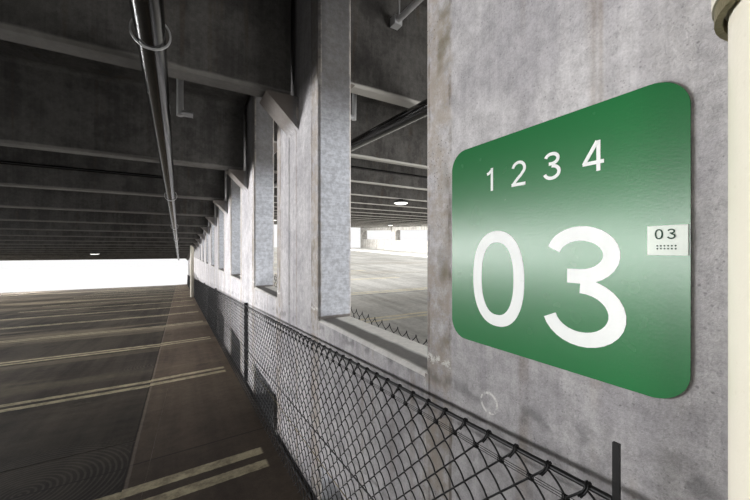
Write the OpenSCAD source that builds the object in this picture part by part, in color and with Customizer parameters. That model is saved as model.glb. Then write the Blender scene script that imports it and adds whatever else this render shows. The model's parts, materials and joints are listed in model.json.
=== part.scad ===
// Slice of a precast concrete multi storey car park, ten double tees long. Two bays of decks slope
// opposite ways either side of a load bearing wall with tall openings. X runs across the bays,
// Y along the wall and Z up. The origin is on the ground at the middle of the footprint.

/* [Bays] */
// Width of one double tee, which is twice the spacing of the wall piers
tee_w = 3658; // [3000:1:3900]
// Distance from the middle of the wall to the inner face of the outer spandrels
bay_w = 18288; // [12000:1:18800]
// Fall of the left decks towards +Y in percent
left_fall = 5.4; // [1:0.1:6.5]
// Rise of the right decks towards +Y in percent
right_rise = 4.5; // [1:0.1:5.5]
// Distance from the near end of the slice to where both bays are level
crossover_in = 936; // [500:1:9000]

/* [Storeys] */
// Height of the first raised deck at the crossover
first_deck_z = 5000; // [4600:1:5600]
// Height from one deck to the next
storey_h = 3220; // [3000:1:3900]
// Height of the wall and the columns
wall_h = 14150; // [14150:1:16500]

/* [Middle wall] */
// Thickness of the wall panels
wall_t = 200; // [150:1:300]
// Width of each opening in the wall
opening_w = 914; // [600:1:1200]
// Height of each opening in the wall
opening_h = 2438; // [1500:1:2600]
// Height of the opening sills above the deck at the crossover
sill_h = 940; // [700:1:1100]
// Chamfer along the edges of each opening
opening_chamfer = 12; // [4:1:40]
// Gap between neighbouring wall panels
panel_gap = 15; // [5:1:25]
// Clear distance from the side of a corbel to the joint between panels
joint_clear = 8; // [2:1:30]

/* [Corbels and pads] */
// Width of the corbels
corbel_w = 200; // [150:1:300]
// Projection of the corbels and of the spandrel ledges
corbel_out = 200; // [150:1:300]
// Height of the square nose of a corbel
corbel_nose = 8; // [4:1:100]
// Thickness of a bearing pad at its middle
pad_h = 13; // [10:1:25]
// Length of a bearing pad along the stem
pad_l = 120; // [80:1:140]

/* [Double tees] */
// Depth of a double tee
tee_d = 813; // [600:1:900]
// Thickness of the tee flange
flange_t = 102; // [75:1:150]
// Width of a stem under the flange
stem_top_w = 190; // [150:1:240]
// Width of a stem at its bottom
stem_low_w = 130; // [100:1:150]
// Radius of the fillet between stem and flange
stem_fillet = 60; // [20:1:100]
// Gap between neighbouring tees
tee_gap = 20; // [10:1:40]
// Gap between the tee ends and the walls they meet
end_gap = 40; // [25:1:60]

/* [Wash strips] */
// Width of the cast strip along the wall
wash_w = 910; // [500:1:1500]
// Thickness of the cast strip at the wall
wash_wall_t = 30; // [15:1:60]
// Thickness of the cast strip at its seam
wash_seam_t = 8; // [5:1:15]

/* [Outer sides] */
// Thickness of the spandrels
spandrel_t = 203; // [150:1:300]
// Height of the spandrels above the deck
guard_h = 1070; // [900:1:1080]
// Depth of the spandrel ledge
ledge_h = 300; // [200:1:400]
// Side of the square columns
column_w = 600; // [400:1:700]
// Gap between a spandrel end and its column
spandrel_gap = 12; // [5:1:25]
// Length of the column haunches under the spandrels
haunch_l = 220; // [150:1:300]

/* [Fence] */
// Height of the fence above the deck
fence_h = 912; // [700:1:1100]
// Distance from the wall face to the middle of the fence
fence_off = 44; // [35:1:60]
// Distance from the middle of the first pier back to the end of the fence
fence_back = 80; // [0:1:200]
// Diameter of the top rail, which only the left fences have
rail_d = 10; // [8:1:32]
// Diameter of the tension wires
wire_d = 6; // [4:1:8]
// Thickness of the woven mesh
mesh_t = 12; // [4:1:16]
// Height of the mesh bottom above the deck
mesh_low = 50; // [40:1:120]
// Width of the post angle on the wall
post_w = 50; // [30:1:80]
// Thickness of the post angle
post_t = 6; // [4:1:10]
// Height of the posts above the fence
post_up = 10; // [0:1:90]
// Height of the end bar above the fence
bar_up = 90; // [0:1:120]

/* [Sign] */
// Side of the square level sign
sign_w = 500; // [300:1:500]
// Corner radius of the level sign
sign_r = 50; // [10:1:100]
// Thickness of the level sign
sign_t = 3; // [2:1:6]
// Height of the sign's middle above the deck at the crossover
sign_h = 1335; // [1200:1:1600]
// Distance from the middle of the first pier on to the middle of the sign
sign_on = 85; // [0:1:120]
// Width of the small touch plate
touch_w = 50; // [40:1:80]
// Height of the small touch plate
touch_h = 46; // [30:1:80]

/* [Pipes and lights] */
// Diameter of the main pipes
pipe_d = 114; // [60:1:120]
// Distance from the wall face to the middle of a main pipe
pipe_off = 764; // [500:1:1200]
// Distance from the stem bottoms down to the middle of a main pipe
pipe_drop = 77; // [77:1:150]
// Play of a main pipe in the rings of its hangers
ring_play = 26; // [2:1:40]
// Distance from the middle of a stem back to the middle of its hanger
hanger_back = 431; // [250:1:700]
// Diameter of the branch pipes
branch_d = 42; // [25:1:60]
// Height of the branch pipes above the stem bottoms
branch_up = 230; // [150:1:450]
// Distance from the middle of a stem back to the middle of its branch pipe
branch_back = 240; // [150:1:400]
// Diameter of the deck drains between the stems
drain_d = 48; // [30:1:80]
// Distance from the middle of a stem on to the middle of its deck drain
drain_on = 820; // [300:1:900]
// Diameter of the ceiling conduits
conduit_d = 42; // [20:1:50]
// Distance from the flange down to the middle of a ceiling conduit
conduit_drop = 205; // [60:1:400]
// Distance from the wall face to the middle of a ceiling conduit
conduit_off = 512; // [300:1:900]
// Diameter of the risers
riser_d = 168; // [100:1:180]
// Distance from the wall face to the middle of a riser
riser_off = 154; // [125:1:200]
// Distance from the middle of the free pier face beside a corbel back to the middle of a riser
riser_back = 46.25; // [0:0.25:60]
// Height of the riser clamps above the sills
clamp_up = 610; // [400:1:900]
// Thickness of the riser hubs round the riser
hub_t = 12; // [6:1:20]
// Height of the riser hubs
hub_h = 130; // [60:1:200]
// Clear distance round a riser in a deck
sleeve_gap = 12; // [8:1:20]
// Diameter of the round lamps
lamp_d = 440; // [250:1:500]
// Height of the lamps below the tee stems
lamp_h = 150; // [100:1:200]

/* [Hidden] */

LEFT = -1;
RIGHT = 1;
LEVELS = [2, 3, 4];
tee_count = 10;
bay_count = tee_count / 2;
pier_pitch = tee_w / 2;
pier_count = 2 * tee_count;
slice_l = tee_count * tee_w;
near_y = -slice_l / 2;
crossover_y = near_y + crossover_in;
tee_l = bay_w - wall_t / 2 - 2 * end_gap;
seat_gap = 0.3;
over = 1;
concrete = "#b4b2ae";
light_concrete = "#c4c1ba";
black_steel = "#1d1e20";
cream = "#d9d3bb";

// A deck falls or rises as a fraction of the distance along Y
function slope(side) = (side == LEFT ? -left_fall : right_rise) / 100;
function slope_angle(side) = atan(slope(side));
function pier_y(i) = near_y + pier_pitch * (i + 0.5);
function deck_level_z(level) = first_deck_z + (level - 2) * storey_h;
function deck_z(side, level, y) = deck_level_z(level) + slope(side) * (y - crossover_y);
function stem_low_z(side, level, y) = deck_z(side, level, y) - tee_d;
// Distance along the slope from the crossover to a place along Y
function along(side, y) = (y - crossover_y) / cos(slope_angle(side));

// Places a shape in the frame of a deck, whose top is z = 0 and whose y runs along the slope
module on_deck(side, level) {
    translate([0, crossover_y, deck_level_z(level) - tee_d])
        rotate([slope_angle(side), 0, 0])
            translate([0, 0, tee_d])
                children();
}

// Mirrors a shape made for the right bay into the left bay
module in_bay(side) {
    mirror([side == LEFT ? 1 : 0, 0, 0])
        children();
}

// Extrudes a profile in Y and Z along X from x by length
module profile_x(points, x, length) {
    translate([x, 0, 0])
        rotate([90, 0, 90])
            linear_extrude(length)
                polygon(points);
}

// Extrudes a profile in X and Z along Y from y by length
module profile_y(points, y, length) {
    translate([0, y + length, 0])
        rotate([90, 0, 0])
            linear_extrude(length)
                polygon(points);
}

// A round bar from y by length, in the frame of a deck
module bar_y(d, x, y, z, length) {
    translate([x, y, z])
        rotate([-90, 0, 0])
            cylinder(h = length, d = d, $fn = 32);
}

// Wall panels

// The wall starts and ends with whole piers, and each joint lies just past a corbel
pier_w = pier_pitch - opening_w;
function panel_joint_y(k) =
    k == 0 ? pier_y(0) - (pier_w + panel_gap) / 2
    : k == tee_count ? pier_y(pier_count - 1) + (pier_w + panel_gap) / 2
    : pier_y(2 * k - 1) + corbel_w / 2 + joint_clear + panel_gap / 2;

// Section of a cut through the wall, from a to b, with both ends chamfered at both faces
function splayed_points(half, c, a, b) = [
    [-half - over, a - c - over], [-half + c, a], [half - c, a], [half + over, a - c - over],
    [half + over, b + c + over], [half - c, b], [-half + c, b], [-half - over, b + c + over]
];

module opening_cut(y, sill_z) {
    half = wall_t / 2;
    c = opening_chamfer;
    top_z = sill_z + opening_h;
    profile_y(splayed_points(half, c, sill_z, top_z), y - opening_w / 2, opening_w);
    translate([0, 0, sill_z])
        linear_extrude(opening_h)
            polygon(splayed_points(half, c, y - opening_w / 2, y + opening_w / 2));
}

module corbel(side, y, top_z) {
    in_bay(side)
        profile_y([
            [wall_t / 2 - over, top_z], [wall_t / 2 + corbel_out, top_z],
            [wall_t / 2 + corbel_out, top_z - corbel_nose],
            [wall_t / 2 - over, top_z - corbel_nose - corbel_out - over]
        ], y - corbel_w / 2, corbel_w);
}

module wall_panel(k) {
    y0 = panel_joint_y(k - 1) + panel_gap / 2;
    y1 = panel_joint_y(k) - panel_gap / 2;
    color(light_concrete)
        difference() {
            union() {
                translate([-wall_t / 2, y0, 0])
                    cube([wall_t, y1 - y0, wall_h]);
                for (i = [0 : pier_count - 1])
                    if (pier_y(i) > y0 && pier_y(i) < y1)
                        for (side = [LEFT, RIGHT], level = LEVELS)
                            corbel(side, pier_y(i), stem_low_z(side, level, pier_y(i)) - pad_h);
            }
            for (i = [0 : pier_count - 2])
                if (pier_y(i) + pier_pitch / 2 > y0 && pier_y(i) + pier_pitch / 2 < y1)
                    for (level = LEVELS)
                        opening_cut(
                            pier_y(i) + pier_pitch / 2,
                            deck_level_z(level) - storey_h + sill_h
                        );
        }
}

// Decks

function fillet_points(a) = [
    for (k = [0 : 4])
        [a + stem_fillet * (1 - sin(k * 22.5)), -flange_t - stem_fillet * (1 - cos(k * 22.5))]
];

// Outline of one side of a stem, from the flange down to the bottom
function stem_side() = concat(
    fillet_points(stem_top_w / 2),
    [[stem_low_w / 2, -tee_d + 15], [stem_low_w / 2 - 15, -tee_d]]
);

function stem_points(c) = concat(
    [for (p = stem_side()) [c + p[0], p[1]]],
    [for (k = [len(stem_side()) - 1 : -1 : 0]) [c - stem_side()[k][0], stem_side()[k][1]]]
);

function tee_points(side) =
    let (
        half = along(side, crossover_y + tee_w / 2) - tee_gap / 2,
        stem = along(side, crossover_y + pier_pitch / 2)
    )
    concat(
        [[-half, -flange_t], [-half, 0], [half, 0], [half, -flange_t]],
        stem_points(stem),
        stem_points(-stem)
    );

function riser_y(k) = pier_y(10 * k) - (corbel_w + pier_w) / 4 - riser_back;

module riser_cuts() {
    for (k = [0, 1])
        translate([-wall_t / 2 - riser_off, riser_y(k), first_deck_z / 2])
            cylinder(h = 2 * storey_h + first_deck_z / 2, d = riser_d + 2 * sleeve_gap, $fn = 48);
}

module deck(side, level) {
    color(concrete)
        for (i = [0 : tee_count - 1]) {
            y = near_y + tee_w * (i + 0.5);
            near_riser = side == LEFT && level < 4
                && (abs(riser_y(0) - y) < tee_w / 2 || abs(riser_y(1) - y) < tee_w / 2);
            difference() {
                on_deck(side, level)
                    in_bay(side)
                        translate([0, along(side, y), 0])
                            profile_x(tee_points(side), wall_t / 2 + end_gap, tee_l);
                if (near_riser)
                    riser_cuts();
            }
        }
}

module wash_strips(side) {
    x0 = wall_t / 2 + end_gap;
    color(light_concrete)
        for (level = LEVELS)
            difference() {
                on_deck(side, level)
                    in_bay(side)
                        profile_y([
                            [x0, seat_gap], [x0 + wash_w, seat_gap],
                            [x0 + wash_w, seat_gap + wash_seam_t],
                            [x0, seat_gap + wash_wall_t]
                        ], along(side, near_y), along(side, -near_y) - along(side, near_y));
                if (side == LEFT && level < 4)
                    riser_cuts();
            }
}

// Outer sides

COLUMN_END = slice_l / 2 + 50;
function column_y(k) =
    k == 0 ? -COLUMN_END + column_w / 2
    : k == bay_count ? COLUMN_END - column_w / 2
    : near_y + 2 * tee_w * k;

function spandrel_low_z(side, level, y) = stem_low_z(side, level, y) - pad_h - ledge_h;

module spandrels(side, level) {
    color(concrete)
        in_bay(side)
            for (k = [0 : bay_count - 1]) {
                y0 = column_y(k) + column_w / 2 + spandrel_gap;
                y1 = column_y(k + 1) - column_w / 2 - spandrel_gap;
                a = spandrel_low_z(side, level, y0);
                b = spandrel_low_z(side, level, y1);
                panel_h = ledge_h + pad_h + tee_d + guard_h;
                union() {
                    profile_x([[y0, a], [y1, b], [y1, b + panel_h], [y0, a + panel_h]],
                        bay_w, spandrel_t);
                    profile_x([[y0, a], [y1, b], [y1, b + ledge_h], [y0, a + ledge_h]],
                        bay_w - corbel_out, corbel_out + over);
                }
            }
}

module haunch(side, level, y, dir) {
    z0 = spandrel_low_z(side, level, y) - seat_gap;
    z1 = spandrel_low_z(side, level, y + dir * haunch_l) - seat_gap;
    low = column_w / 10;
    profile_x([
        [y - dir * over, z0], [y + dir * haunch_l, z1],
        [y + dir * haunch_l, z1 - low], [y - dir * over, z0 - low - haunch_l]
    ], bay_w, spandrel_t);
}

module columns(side) {
    color(concrete)
        in_bay(side)
            for (k = [0 : bay_count])
                union() {
                    translate([bay_w, column_y(k) - column_w / 2, 0])
                        cube([column_w, column_w, wall_h]);
                    for (level = LEVELS) {
                        if (k > 0)
                            haunch(side, level, column_y(k) - column_w / 2, -1);
                        if (k < bay_count)
                            haunch(side, level, column_y(k) + column_w / 2, 1);
                    }
                }
}

// Tapered pads between the level corbels or the sloping ledges and the tee stems
module bearing_pads() {
    w = stem_low_w - 40;
    color("#3a3a3c")
        for (side = [LEFT, RIGHT], level = LEVELS, i = [0 : pier_count - 1], flat = [0, 1]) {
            y = pier_y(i);
            z = stem_low_z(side, level, y) - pad_h;
            rise = slope(side) * w / 2;
            low = flat == 1 ? 0 : rise;
            x = flat == 1 ? wall_t / 2 + corbel_out - pad_l - 15 : bay_w - corbel_out + 15;
            in_bay(side)
                profile_x([
                    [y - w / 2, z - low + seat_gap], [y + w / 2, z + low + seat_gap],
                    [y + w / 2, z + pad_h + rise - seat_gap],
                    [y - w / 2, z + pad_h - rise - seat_gap]
                ], x, pad_l);
        }
}

// Fences

END_BAR_W = 10;
END_BAR_T = 6;
fence_y0 = pier_y(0) - fence_back;
function post_y(k) = fence_y0 + tee_w * k;
fence_y1 = slice_l / 2 - 150;
fence_x = wall_t / 2 + fence_off;
post_h = fence_h - mesh_low + post_up;
bar_h = fence_h - mesh_low + bar_up;

// An angle with one leg on the wall and the other reaching to the fence
module fence_post(side, y, z) {
    leg = fence_off - (side == LEFT ? max(rail_d, mesh_t) : mesh_t) / 2 - 2 * seat_gap;
    translate([wall_t / 2 + seat_gap, y, z]) {
        cube([post_t, post_w, post_h]);
        cube([leg, post_t, post_h]);
    }
}

// A flat bar at the end of the fence, on two clips from the wall
module end_bar(y, z) {
    translate([fence_x - END_BAR_T / 2, y - END_BAR_W, z])
        cube([END_BAR_T, END_BAR_W, bar_h]);
    for (up = [1, 3])
        translate([wall_t / 2 + seat_gap, y - END_BAR_W, z + up * fence_h / 5])
            cube([fence_off - seat_gap, END_BAR_W, post_t]);
}

// A round bar between two places along Y that stays z above the deck
module rail(side, level, d, x, z) {
    translate([x, fence_y0, deck_z(side, level, fence_y0) + z])
        rotate([slope_angle(side) - 90, 0, 0])
            cylinder(h = (fence_y1 - fence_y0) / cos(slope_angle(side)), d = d, $fn = 24);
}

module fence_frame(side, level) {
    wire_x = fence_x + mesh_t / 2 + wire_d / 2 + seat_gap;
    color(black_steel)
        in_bay(side) {
            end_bar(fence_y0 - 1, deck_z(side, level, fence_y0) + mesh_low);
            for (k = [1 : tee_count - 1])
                fence_post(side, post_y(k), deck_z(side, level, post_y(k)) + mesh_low);
            if (side == LEFT)
                rail(side, level, rail_d, fence_x, fence_h - rail_d / 2);
            rail(side, level, wire_d, wire_x, fence_h / 2);
            rail(side, level, wire_d, wire_x, mesh_low + 3 * wire_d);
        }
}

module fence_mesh(side, level) {
    a = deck_z(side, level, fence_y0) + mesh_low;
    b = deck_z(side, level, fence_y1) + mesh_low;
    h = fence_h - mesh_low - (side == LEFT ? rail_d + 2 * seat_gap : 0);
    color("#2a2b2d")
        in_bay(side)
            profile_x([[fence_y0, a], [fence_y1, b], [fence_y1, b + h], [fence_y0, a + h]],
                fence_x - mesh_t / 2, mesh_t);
}

// Signs

sign_y = pier_y(0) + sign_on;
sign_x = -wall_t / 2 - seat_gap;

module level_signs() {
    color("#1f7a4d")
        for (level = LEVELS)
            translate([sign_x, sign_y, deck_level_z(level) + sign_h])
                rotate([90, 0, -90])
                    linear_extrude(sign_t)
                        offset(r = sign_r, $fn = 48)
                            square(sign_w - 2 * sign_r, center = true);
}

module touch_plates() {
    color("#c9d6cc")
        for (level = LEVELS)
            translate([
                sign_x - sign_t - seat_gap - 2,
                sign_y - sign_w / 2 + 2,
                deck_level_z(level) + sign_h - touch_h / 2
            ])
                cube([2, touch_w, touch_h]);
}

// Pipes

pipe_x = wall_t / 2 + pipe_off;
function hanger_y(k) = pier_y(2 * k + 1) - hanger_back;

module main_pipes() {
    color(black_steel)
        for (side = [LEFT, RIGHT], level = LEVELS)
            on_deck(side, level)
                in_bay(side)
                    bar_y(pipe_d, pipe_x, along(side, near_y), -tee_d - pipe_drop,
                        along(side, -near_y) - along(side, near_y));
}

module pipe_hangers() {
    ring_t = 7;
    ring_d = pipe_d + ring_play;
    lift = ring_play / 2 - seat_gap;
    rod_z = ring_d / 2 + 1;
    color("#4a4b4d")
        for (side = [LEFT, RIGHT], level = LEVELS, k = [0 : tee_count - 1])
            on_deck(side, level)
                in_bay(side)
                    translate([pipe_x, along(side, hanger_y(k)), lift - tee_d - pipe_drop]) {
                        rotate([90, 0, 0])
                            difference() {
                                cylinder(h = 8, d = ring_d + 2 * ring_t, center = true, $fn = 48);
                                cylinder(h = 10, d = ring_d, center = true, $fn = 48);
                            }
                        translate([0, 0, rod_z])
                            cylinder(
                                h = tee_d - flange_t + pipe_drop - lift - rod_z - seat_gap,
                                d = 12, $fn = 24
                            );
                    }
}

// A pipe across the bay at every other tee, and its drop to the main pipe
module branch_pipes() {
    x1 = bay_w - 1200;
    r = branch_d / 2;
    drop_z = -pipe_drop + pipe_d / 2 + seat_gap;
    color(black_steel)
        for (side = [LEFT, RIGHT], level = LEVELS, i = [1 : 2 : tee_count - 1])
            on_deck(side, level)
                in_bay(side)
                    translate([pipe_x, along(side, pier_y(2 * i + 1)) - branch_back, -tee_d]) {
                        translate([-r, 0, branch_up])
                            rotate([0, 90, 0])
                                cylinder(h = x1 - pipe_x, d = branch_d, $fn = 24);
                        translate([0, 0, drop_z])
                            cylinder(h = branch_up - r - seat_gap - drop_z, d = branch_d, $fn = 24);
                    }
}

// A short pipe that hangs from the flange between two stems, with an elbow towards the wall
module deck_drains() {
    end_z = 100 - tee_d;
    color("#77787a")
        for (side = [LEFT, RIGHT], level = LEVELS, i = [0 : 2 : tee_count - 1])
            on_deck(side, level)
                in_bay(side)
                    translate([pipe_x - 110, along(side, pier_y(2 * i + 1)) + drain_on, end_z]) {
                        cylinder(h = -flange_t - seat_gap - end_z, d = drain_d, $fn = 32);
                        translate([-90, 0, drain_d / 2])
                            rotate([0, 90, 0])
                                cylinder(h = 90, d = drain_d, $fn = 32);
                    }
}

// A conduit between the first two right stems, its box at the second one and the box's rod
module ceiling_conduits() {
    box_l = conduit_d + 22;
    stem_half = stem_top_w / 2;
    color("#77787a")
        for (level = LEVELS)
            on_deck(RIGHT, level) {
                y0 = along(RIGHT, pier_y(0)) + stem_half + 40;
                y1 = along(RIGHT, pier_y(1)) - stem_half - 6;
                translate([wall_t / 2 + conduit_off, 0, -flange_t]) {
                    bar_y(conduit_d, 0, y0, -conduit_drop, y1 - y0 - box_l / 2);
                    translate([-box_l / 2, y1 - box_l, -conduit_drop - box_l / 2])
                        cube([box_l, box_l, box_l]);
                    for (y = [y0 + 40, y1 - stem_fillet - 8])
                        translate([0, y, -conduit_drop])
                            cylinder(h = conduit_drop - seat_gap, d = 12, $fn = 24);
                }
            }
}

CLAMP_H = 14;
function clamp_z(level) = deck_level_z(level) - storey_h + sill_h + clamp_up;

// Each riser has a hub on top of each clamp
module drain_risers() {
    color(cream)
        for (k = [0, 1])
            translate([-wall_t / 2 - riser_off, riser_y(k), 0])
                union() {
                    cylinder(
                        h = stem_low_z(LEFT, 4, riser_y(k) + riser_d) + tee_d - flange_t - 20,
                        d = riser_d, $fn = 64
                    );
                    for (level = LEVELS)
                        translate([0, 0, clamp_z(level) + CLAMP_H + seat_gap])
                            cylinder(h = hub_h, d = riser_d + 2 * hub_t, $fn = 64);
                }
}

module riser_clamps() {
    band_t = hub_t - 2;
    rim_t = band_t / 2 + 1;
    color("#8a7f55")
        for (k = [0, 1], level = LEVELS)
            translate([-wall_t / 2 - riser_off, riser_y(k), clamp_z(level)])
                difference() {
                    union() {
                        cylinder(h = CLAMP_H, d = riser_d + 2 * band_t, $fn = 64);
                        translate([0, -20, 0])
                            cube([riser_off - seat_gap, 40, CLAMP_H]);
                    }
                    translate([0, 0, -over])
                        cylinder(h = CLAMP_H + 2 * over, d = riser_d + 2 * (band_t - rim_t), $fn = 64);
                }
}

// Round lamps under the fifth and thirteenth stems, at a quarter and three quarters of each bay
module lamps() {
    color("white")
        for (side = [LEFT, RIGHT], level = LEVELS, i = [4, 12], part = [1, 3])
            on_deck(side, level)
                in_bay(side)
                    translate([bay_w * part / 4, along(side, pier_y(i)), -tee_d - seat_gap])
                        lamp();
}

// Turned outline of a lamp, from the stem down: crown, shade and lens
module lamp() {
    r = lamp_d / 2;
    rotate_extrude($fn = 64)
        polygon([
            [0, 0], [r * 0.45, 0], [r * 0.8, -lamp_h * 0.3], [r, -lamp_h * 0.6],
            [r, -lamp_h * 0.72], [r * 0.85, -lamp_h * 0.86], [r * 0.5, -lamp_h], [0, -lamp_h]
        ]);
}

wall_panel(1);  // wall_panel_1
wall_panel(2);  // wall_panel_2
wall_panel(3);  // wall_panel_3
wall_panel(4);  // wall_panel_4
wall_panel(5);  // wall_panel_5
wall_panel(6);  // wall_panel_6
wall_panel(7);  // wall_panel_7
wall_panel(8);  // wall_panel_8
wall_panel(9);  // wall_panel_9
wall_panel(10);  // wall_panel_10
deck(LEFT, 2);  // level_2_left_deck
deck(RIGHT, 2);  // level_2_right_deck
deck(LEFT, 3);  // level_3_left_deck
deck(RIGHT, 3);  // level_3_right_deck
deck(LEFT, 4);  // level_4_left_deck
deck(RIGHT, 4);  // level_4_right_deck
wash_strips(LEFT);  // left_wash_strips
wash_strips(RIGHT);  // right_wash_strips
spandrels(LEFT, 2);  // level_2_left_spandrels
spandrels(RIGHT, 2);  // level_2_right_spandrels
spandrels(LEFT, 3);  // level_3_left_spandrels
spandrels(RIGHT, 3);  // level_3_right_spandrels
spandrels(LEFT, 4);  // level_4_left_spandrels
spandrels(RIGHT, 4);  // level_4_right_spandrels
columns(LEFT);  // left_columns
columns(RIGHT);  // right_columns
bearing_pads();
fence_frame(LEFT, 2);  // level_2_left_fence_frame
fence_frame(RIGHT, 2);  // level_2_right_fence_frame
fence_frame(LEFT, 3);  // level_3_left_fence_frame
fence_frame(RIGHT, 3);  // level_3_right_fence_frame
fence_mesh(LEFT, 2);  // level_2_left_fence_mesh
fence_mesh(RIGHT, 2);  // level_2_right_fence_mesh
fence_mesh(LEFT, 3);  // level_3_left_fence_mesh
fence_mesh(RIGHT, 3);  // level_3_right_fence_mesh
level_signs();
touch_plates();
main_pipes();
pipe_hangers();
branch_pipes();
deck_drains();
ceiling_conduits();
drain_risers();
riser_clamps();
lamps();
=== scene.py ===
"""Looks of a slice of a precast multi storey car park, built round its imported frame."""

import json
import logging
import math
from dataclasses import dataclass, field
from enum import Enum
from typing import Any, Dict, List, Mapping, Optional, Sequence, Tuple, Union

import bpy
import numpy as np
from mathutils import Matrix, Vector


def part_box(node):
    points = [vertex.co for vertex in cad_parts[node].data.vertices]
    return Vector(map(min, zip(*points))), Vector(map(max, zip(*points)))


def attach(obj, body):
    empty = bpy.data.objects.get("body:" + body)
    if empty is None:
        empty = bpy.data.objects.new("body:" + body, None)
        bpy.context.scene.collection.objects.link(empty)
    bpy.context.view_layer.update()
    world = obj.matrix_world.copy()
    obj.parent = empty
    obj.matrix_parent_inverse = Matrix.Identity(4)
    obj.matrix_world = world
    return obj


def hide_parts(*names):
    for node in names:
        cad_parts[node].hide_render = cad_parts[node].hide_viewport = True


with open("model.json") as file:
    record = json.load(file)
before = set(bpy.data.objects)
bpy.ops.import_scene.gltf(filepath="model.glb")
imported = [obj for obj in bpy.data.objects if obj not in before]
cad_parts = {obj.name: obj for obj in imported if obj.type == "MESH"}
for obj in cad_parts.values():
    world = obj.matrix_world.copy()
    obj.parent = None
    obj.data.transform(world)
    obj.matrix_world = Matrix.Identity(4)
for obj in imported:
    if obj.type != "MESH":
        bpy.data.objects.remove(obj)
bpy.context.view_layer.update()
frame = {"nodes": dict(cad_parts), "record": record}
LOG = logging.getLogger("car_park")

Number = Union[int, float]
Colour = Tuple[float, float, float]


def srgb(red: int, green: int, blue: int) -> Colour:
    """Turns a display colour of 0 to 255 into linear light.

    Args:
        red: Red on the display scale.
        green: Green on the display scale.
        blue: Blue on the display scale.

    Returns:
        The three linear values.
    """
    share = [value / 255 for value in (red, green, blue)]
    return tuple(v / 12.92 if v <= 0.04045 else ((v + 0.055) / 1.055) ** 2.4 for v in share)


class Side(Enum):
    """The two bays, by the sign of X."""

    LEFT = -1
    RIGHT = 1


@dataclass(frozen=True)
class Bays:
    """Sizes that the part's source holds, in metres."""

    tee_w: float = 3.658
    tees: int = 10
    near_y: float = -18.29
    level_y: float = -17.354
    bay_w: float = 18.288
    first_deck: float = 5.0
    storey: float = 3.22
    tee_d: float = 0.813
    wall_t: float = 0.2
    wall_h: float = 14.15
    end_gap: float = 0.04
    opening_w: float = 0.914
    sill_h: float = 0.94
    fall: float = 0.054
    rise: float = 0.045

    @property
    def pitch(self) -> float:
        """Distance from pier to pier."""
        return self.tee_w / 2

    def slope(self, side: Side) -> float:
        """Climb of a bay's decks towards +Y, as a fraction."""
        return -self.fall if side is Side.LEFT else self.rise

    def level_z(self, level: int) -> float:
        """Height of a deck where both bays are level."""
        return self.first_deck + (level - 2) * self.storey

    def deck_z(self, side: Side, level: int, y: Any) -> Any:
        """Height of a deck's top at a place along Y."""
        return self.level_z(level) + self.slope(side) * (y - self.level_y)

    def pier_y(self, index: int) -> float:
        """Middle of a pier along Y."""
        return self.near_y + self.pitch * (index + 0.5)

    def on_deck(self, side: Side, level: int, x: Any, y: Any, up: Any) -> np.ndarray:
        """Places points that are given in the tilted frame of a deck.

        A point at level distance y lies y / cos(angle) along the slope; the frame turns about the
        line at stem height where both bays are level.

        Args:
            side: The bay.
            level: The deck's level.
            x: Distance from the middle of the wall, made positive.
            y: Place along Y at stem height.
            up: Height over the deck's top, square to the slope.

        Returns:
            An array of points.
        """
        angle = math.atan(self.slope(side))
        x, y, up = np.broadcast_arrays(np.asarray(x, float), y, up)
        along = (y - self.level_y) / math.cos(angle)
        lift = up + self.tee_d
        return np.stack([
            side.value * x,
            self.level_y + along * math.cos(angle) - lift * math.sin(angle),
            self.level_z(level) - self.tee_d + along * math.sin(angle) + lift * math.cos(angle),
        ], axis=-1)


BAYS = Bays()
LEVELS = (2, 3, 4)


# Shader graphs


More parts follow.
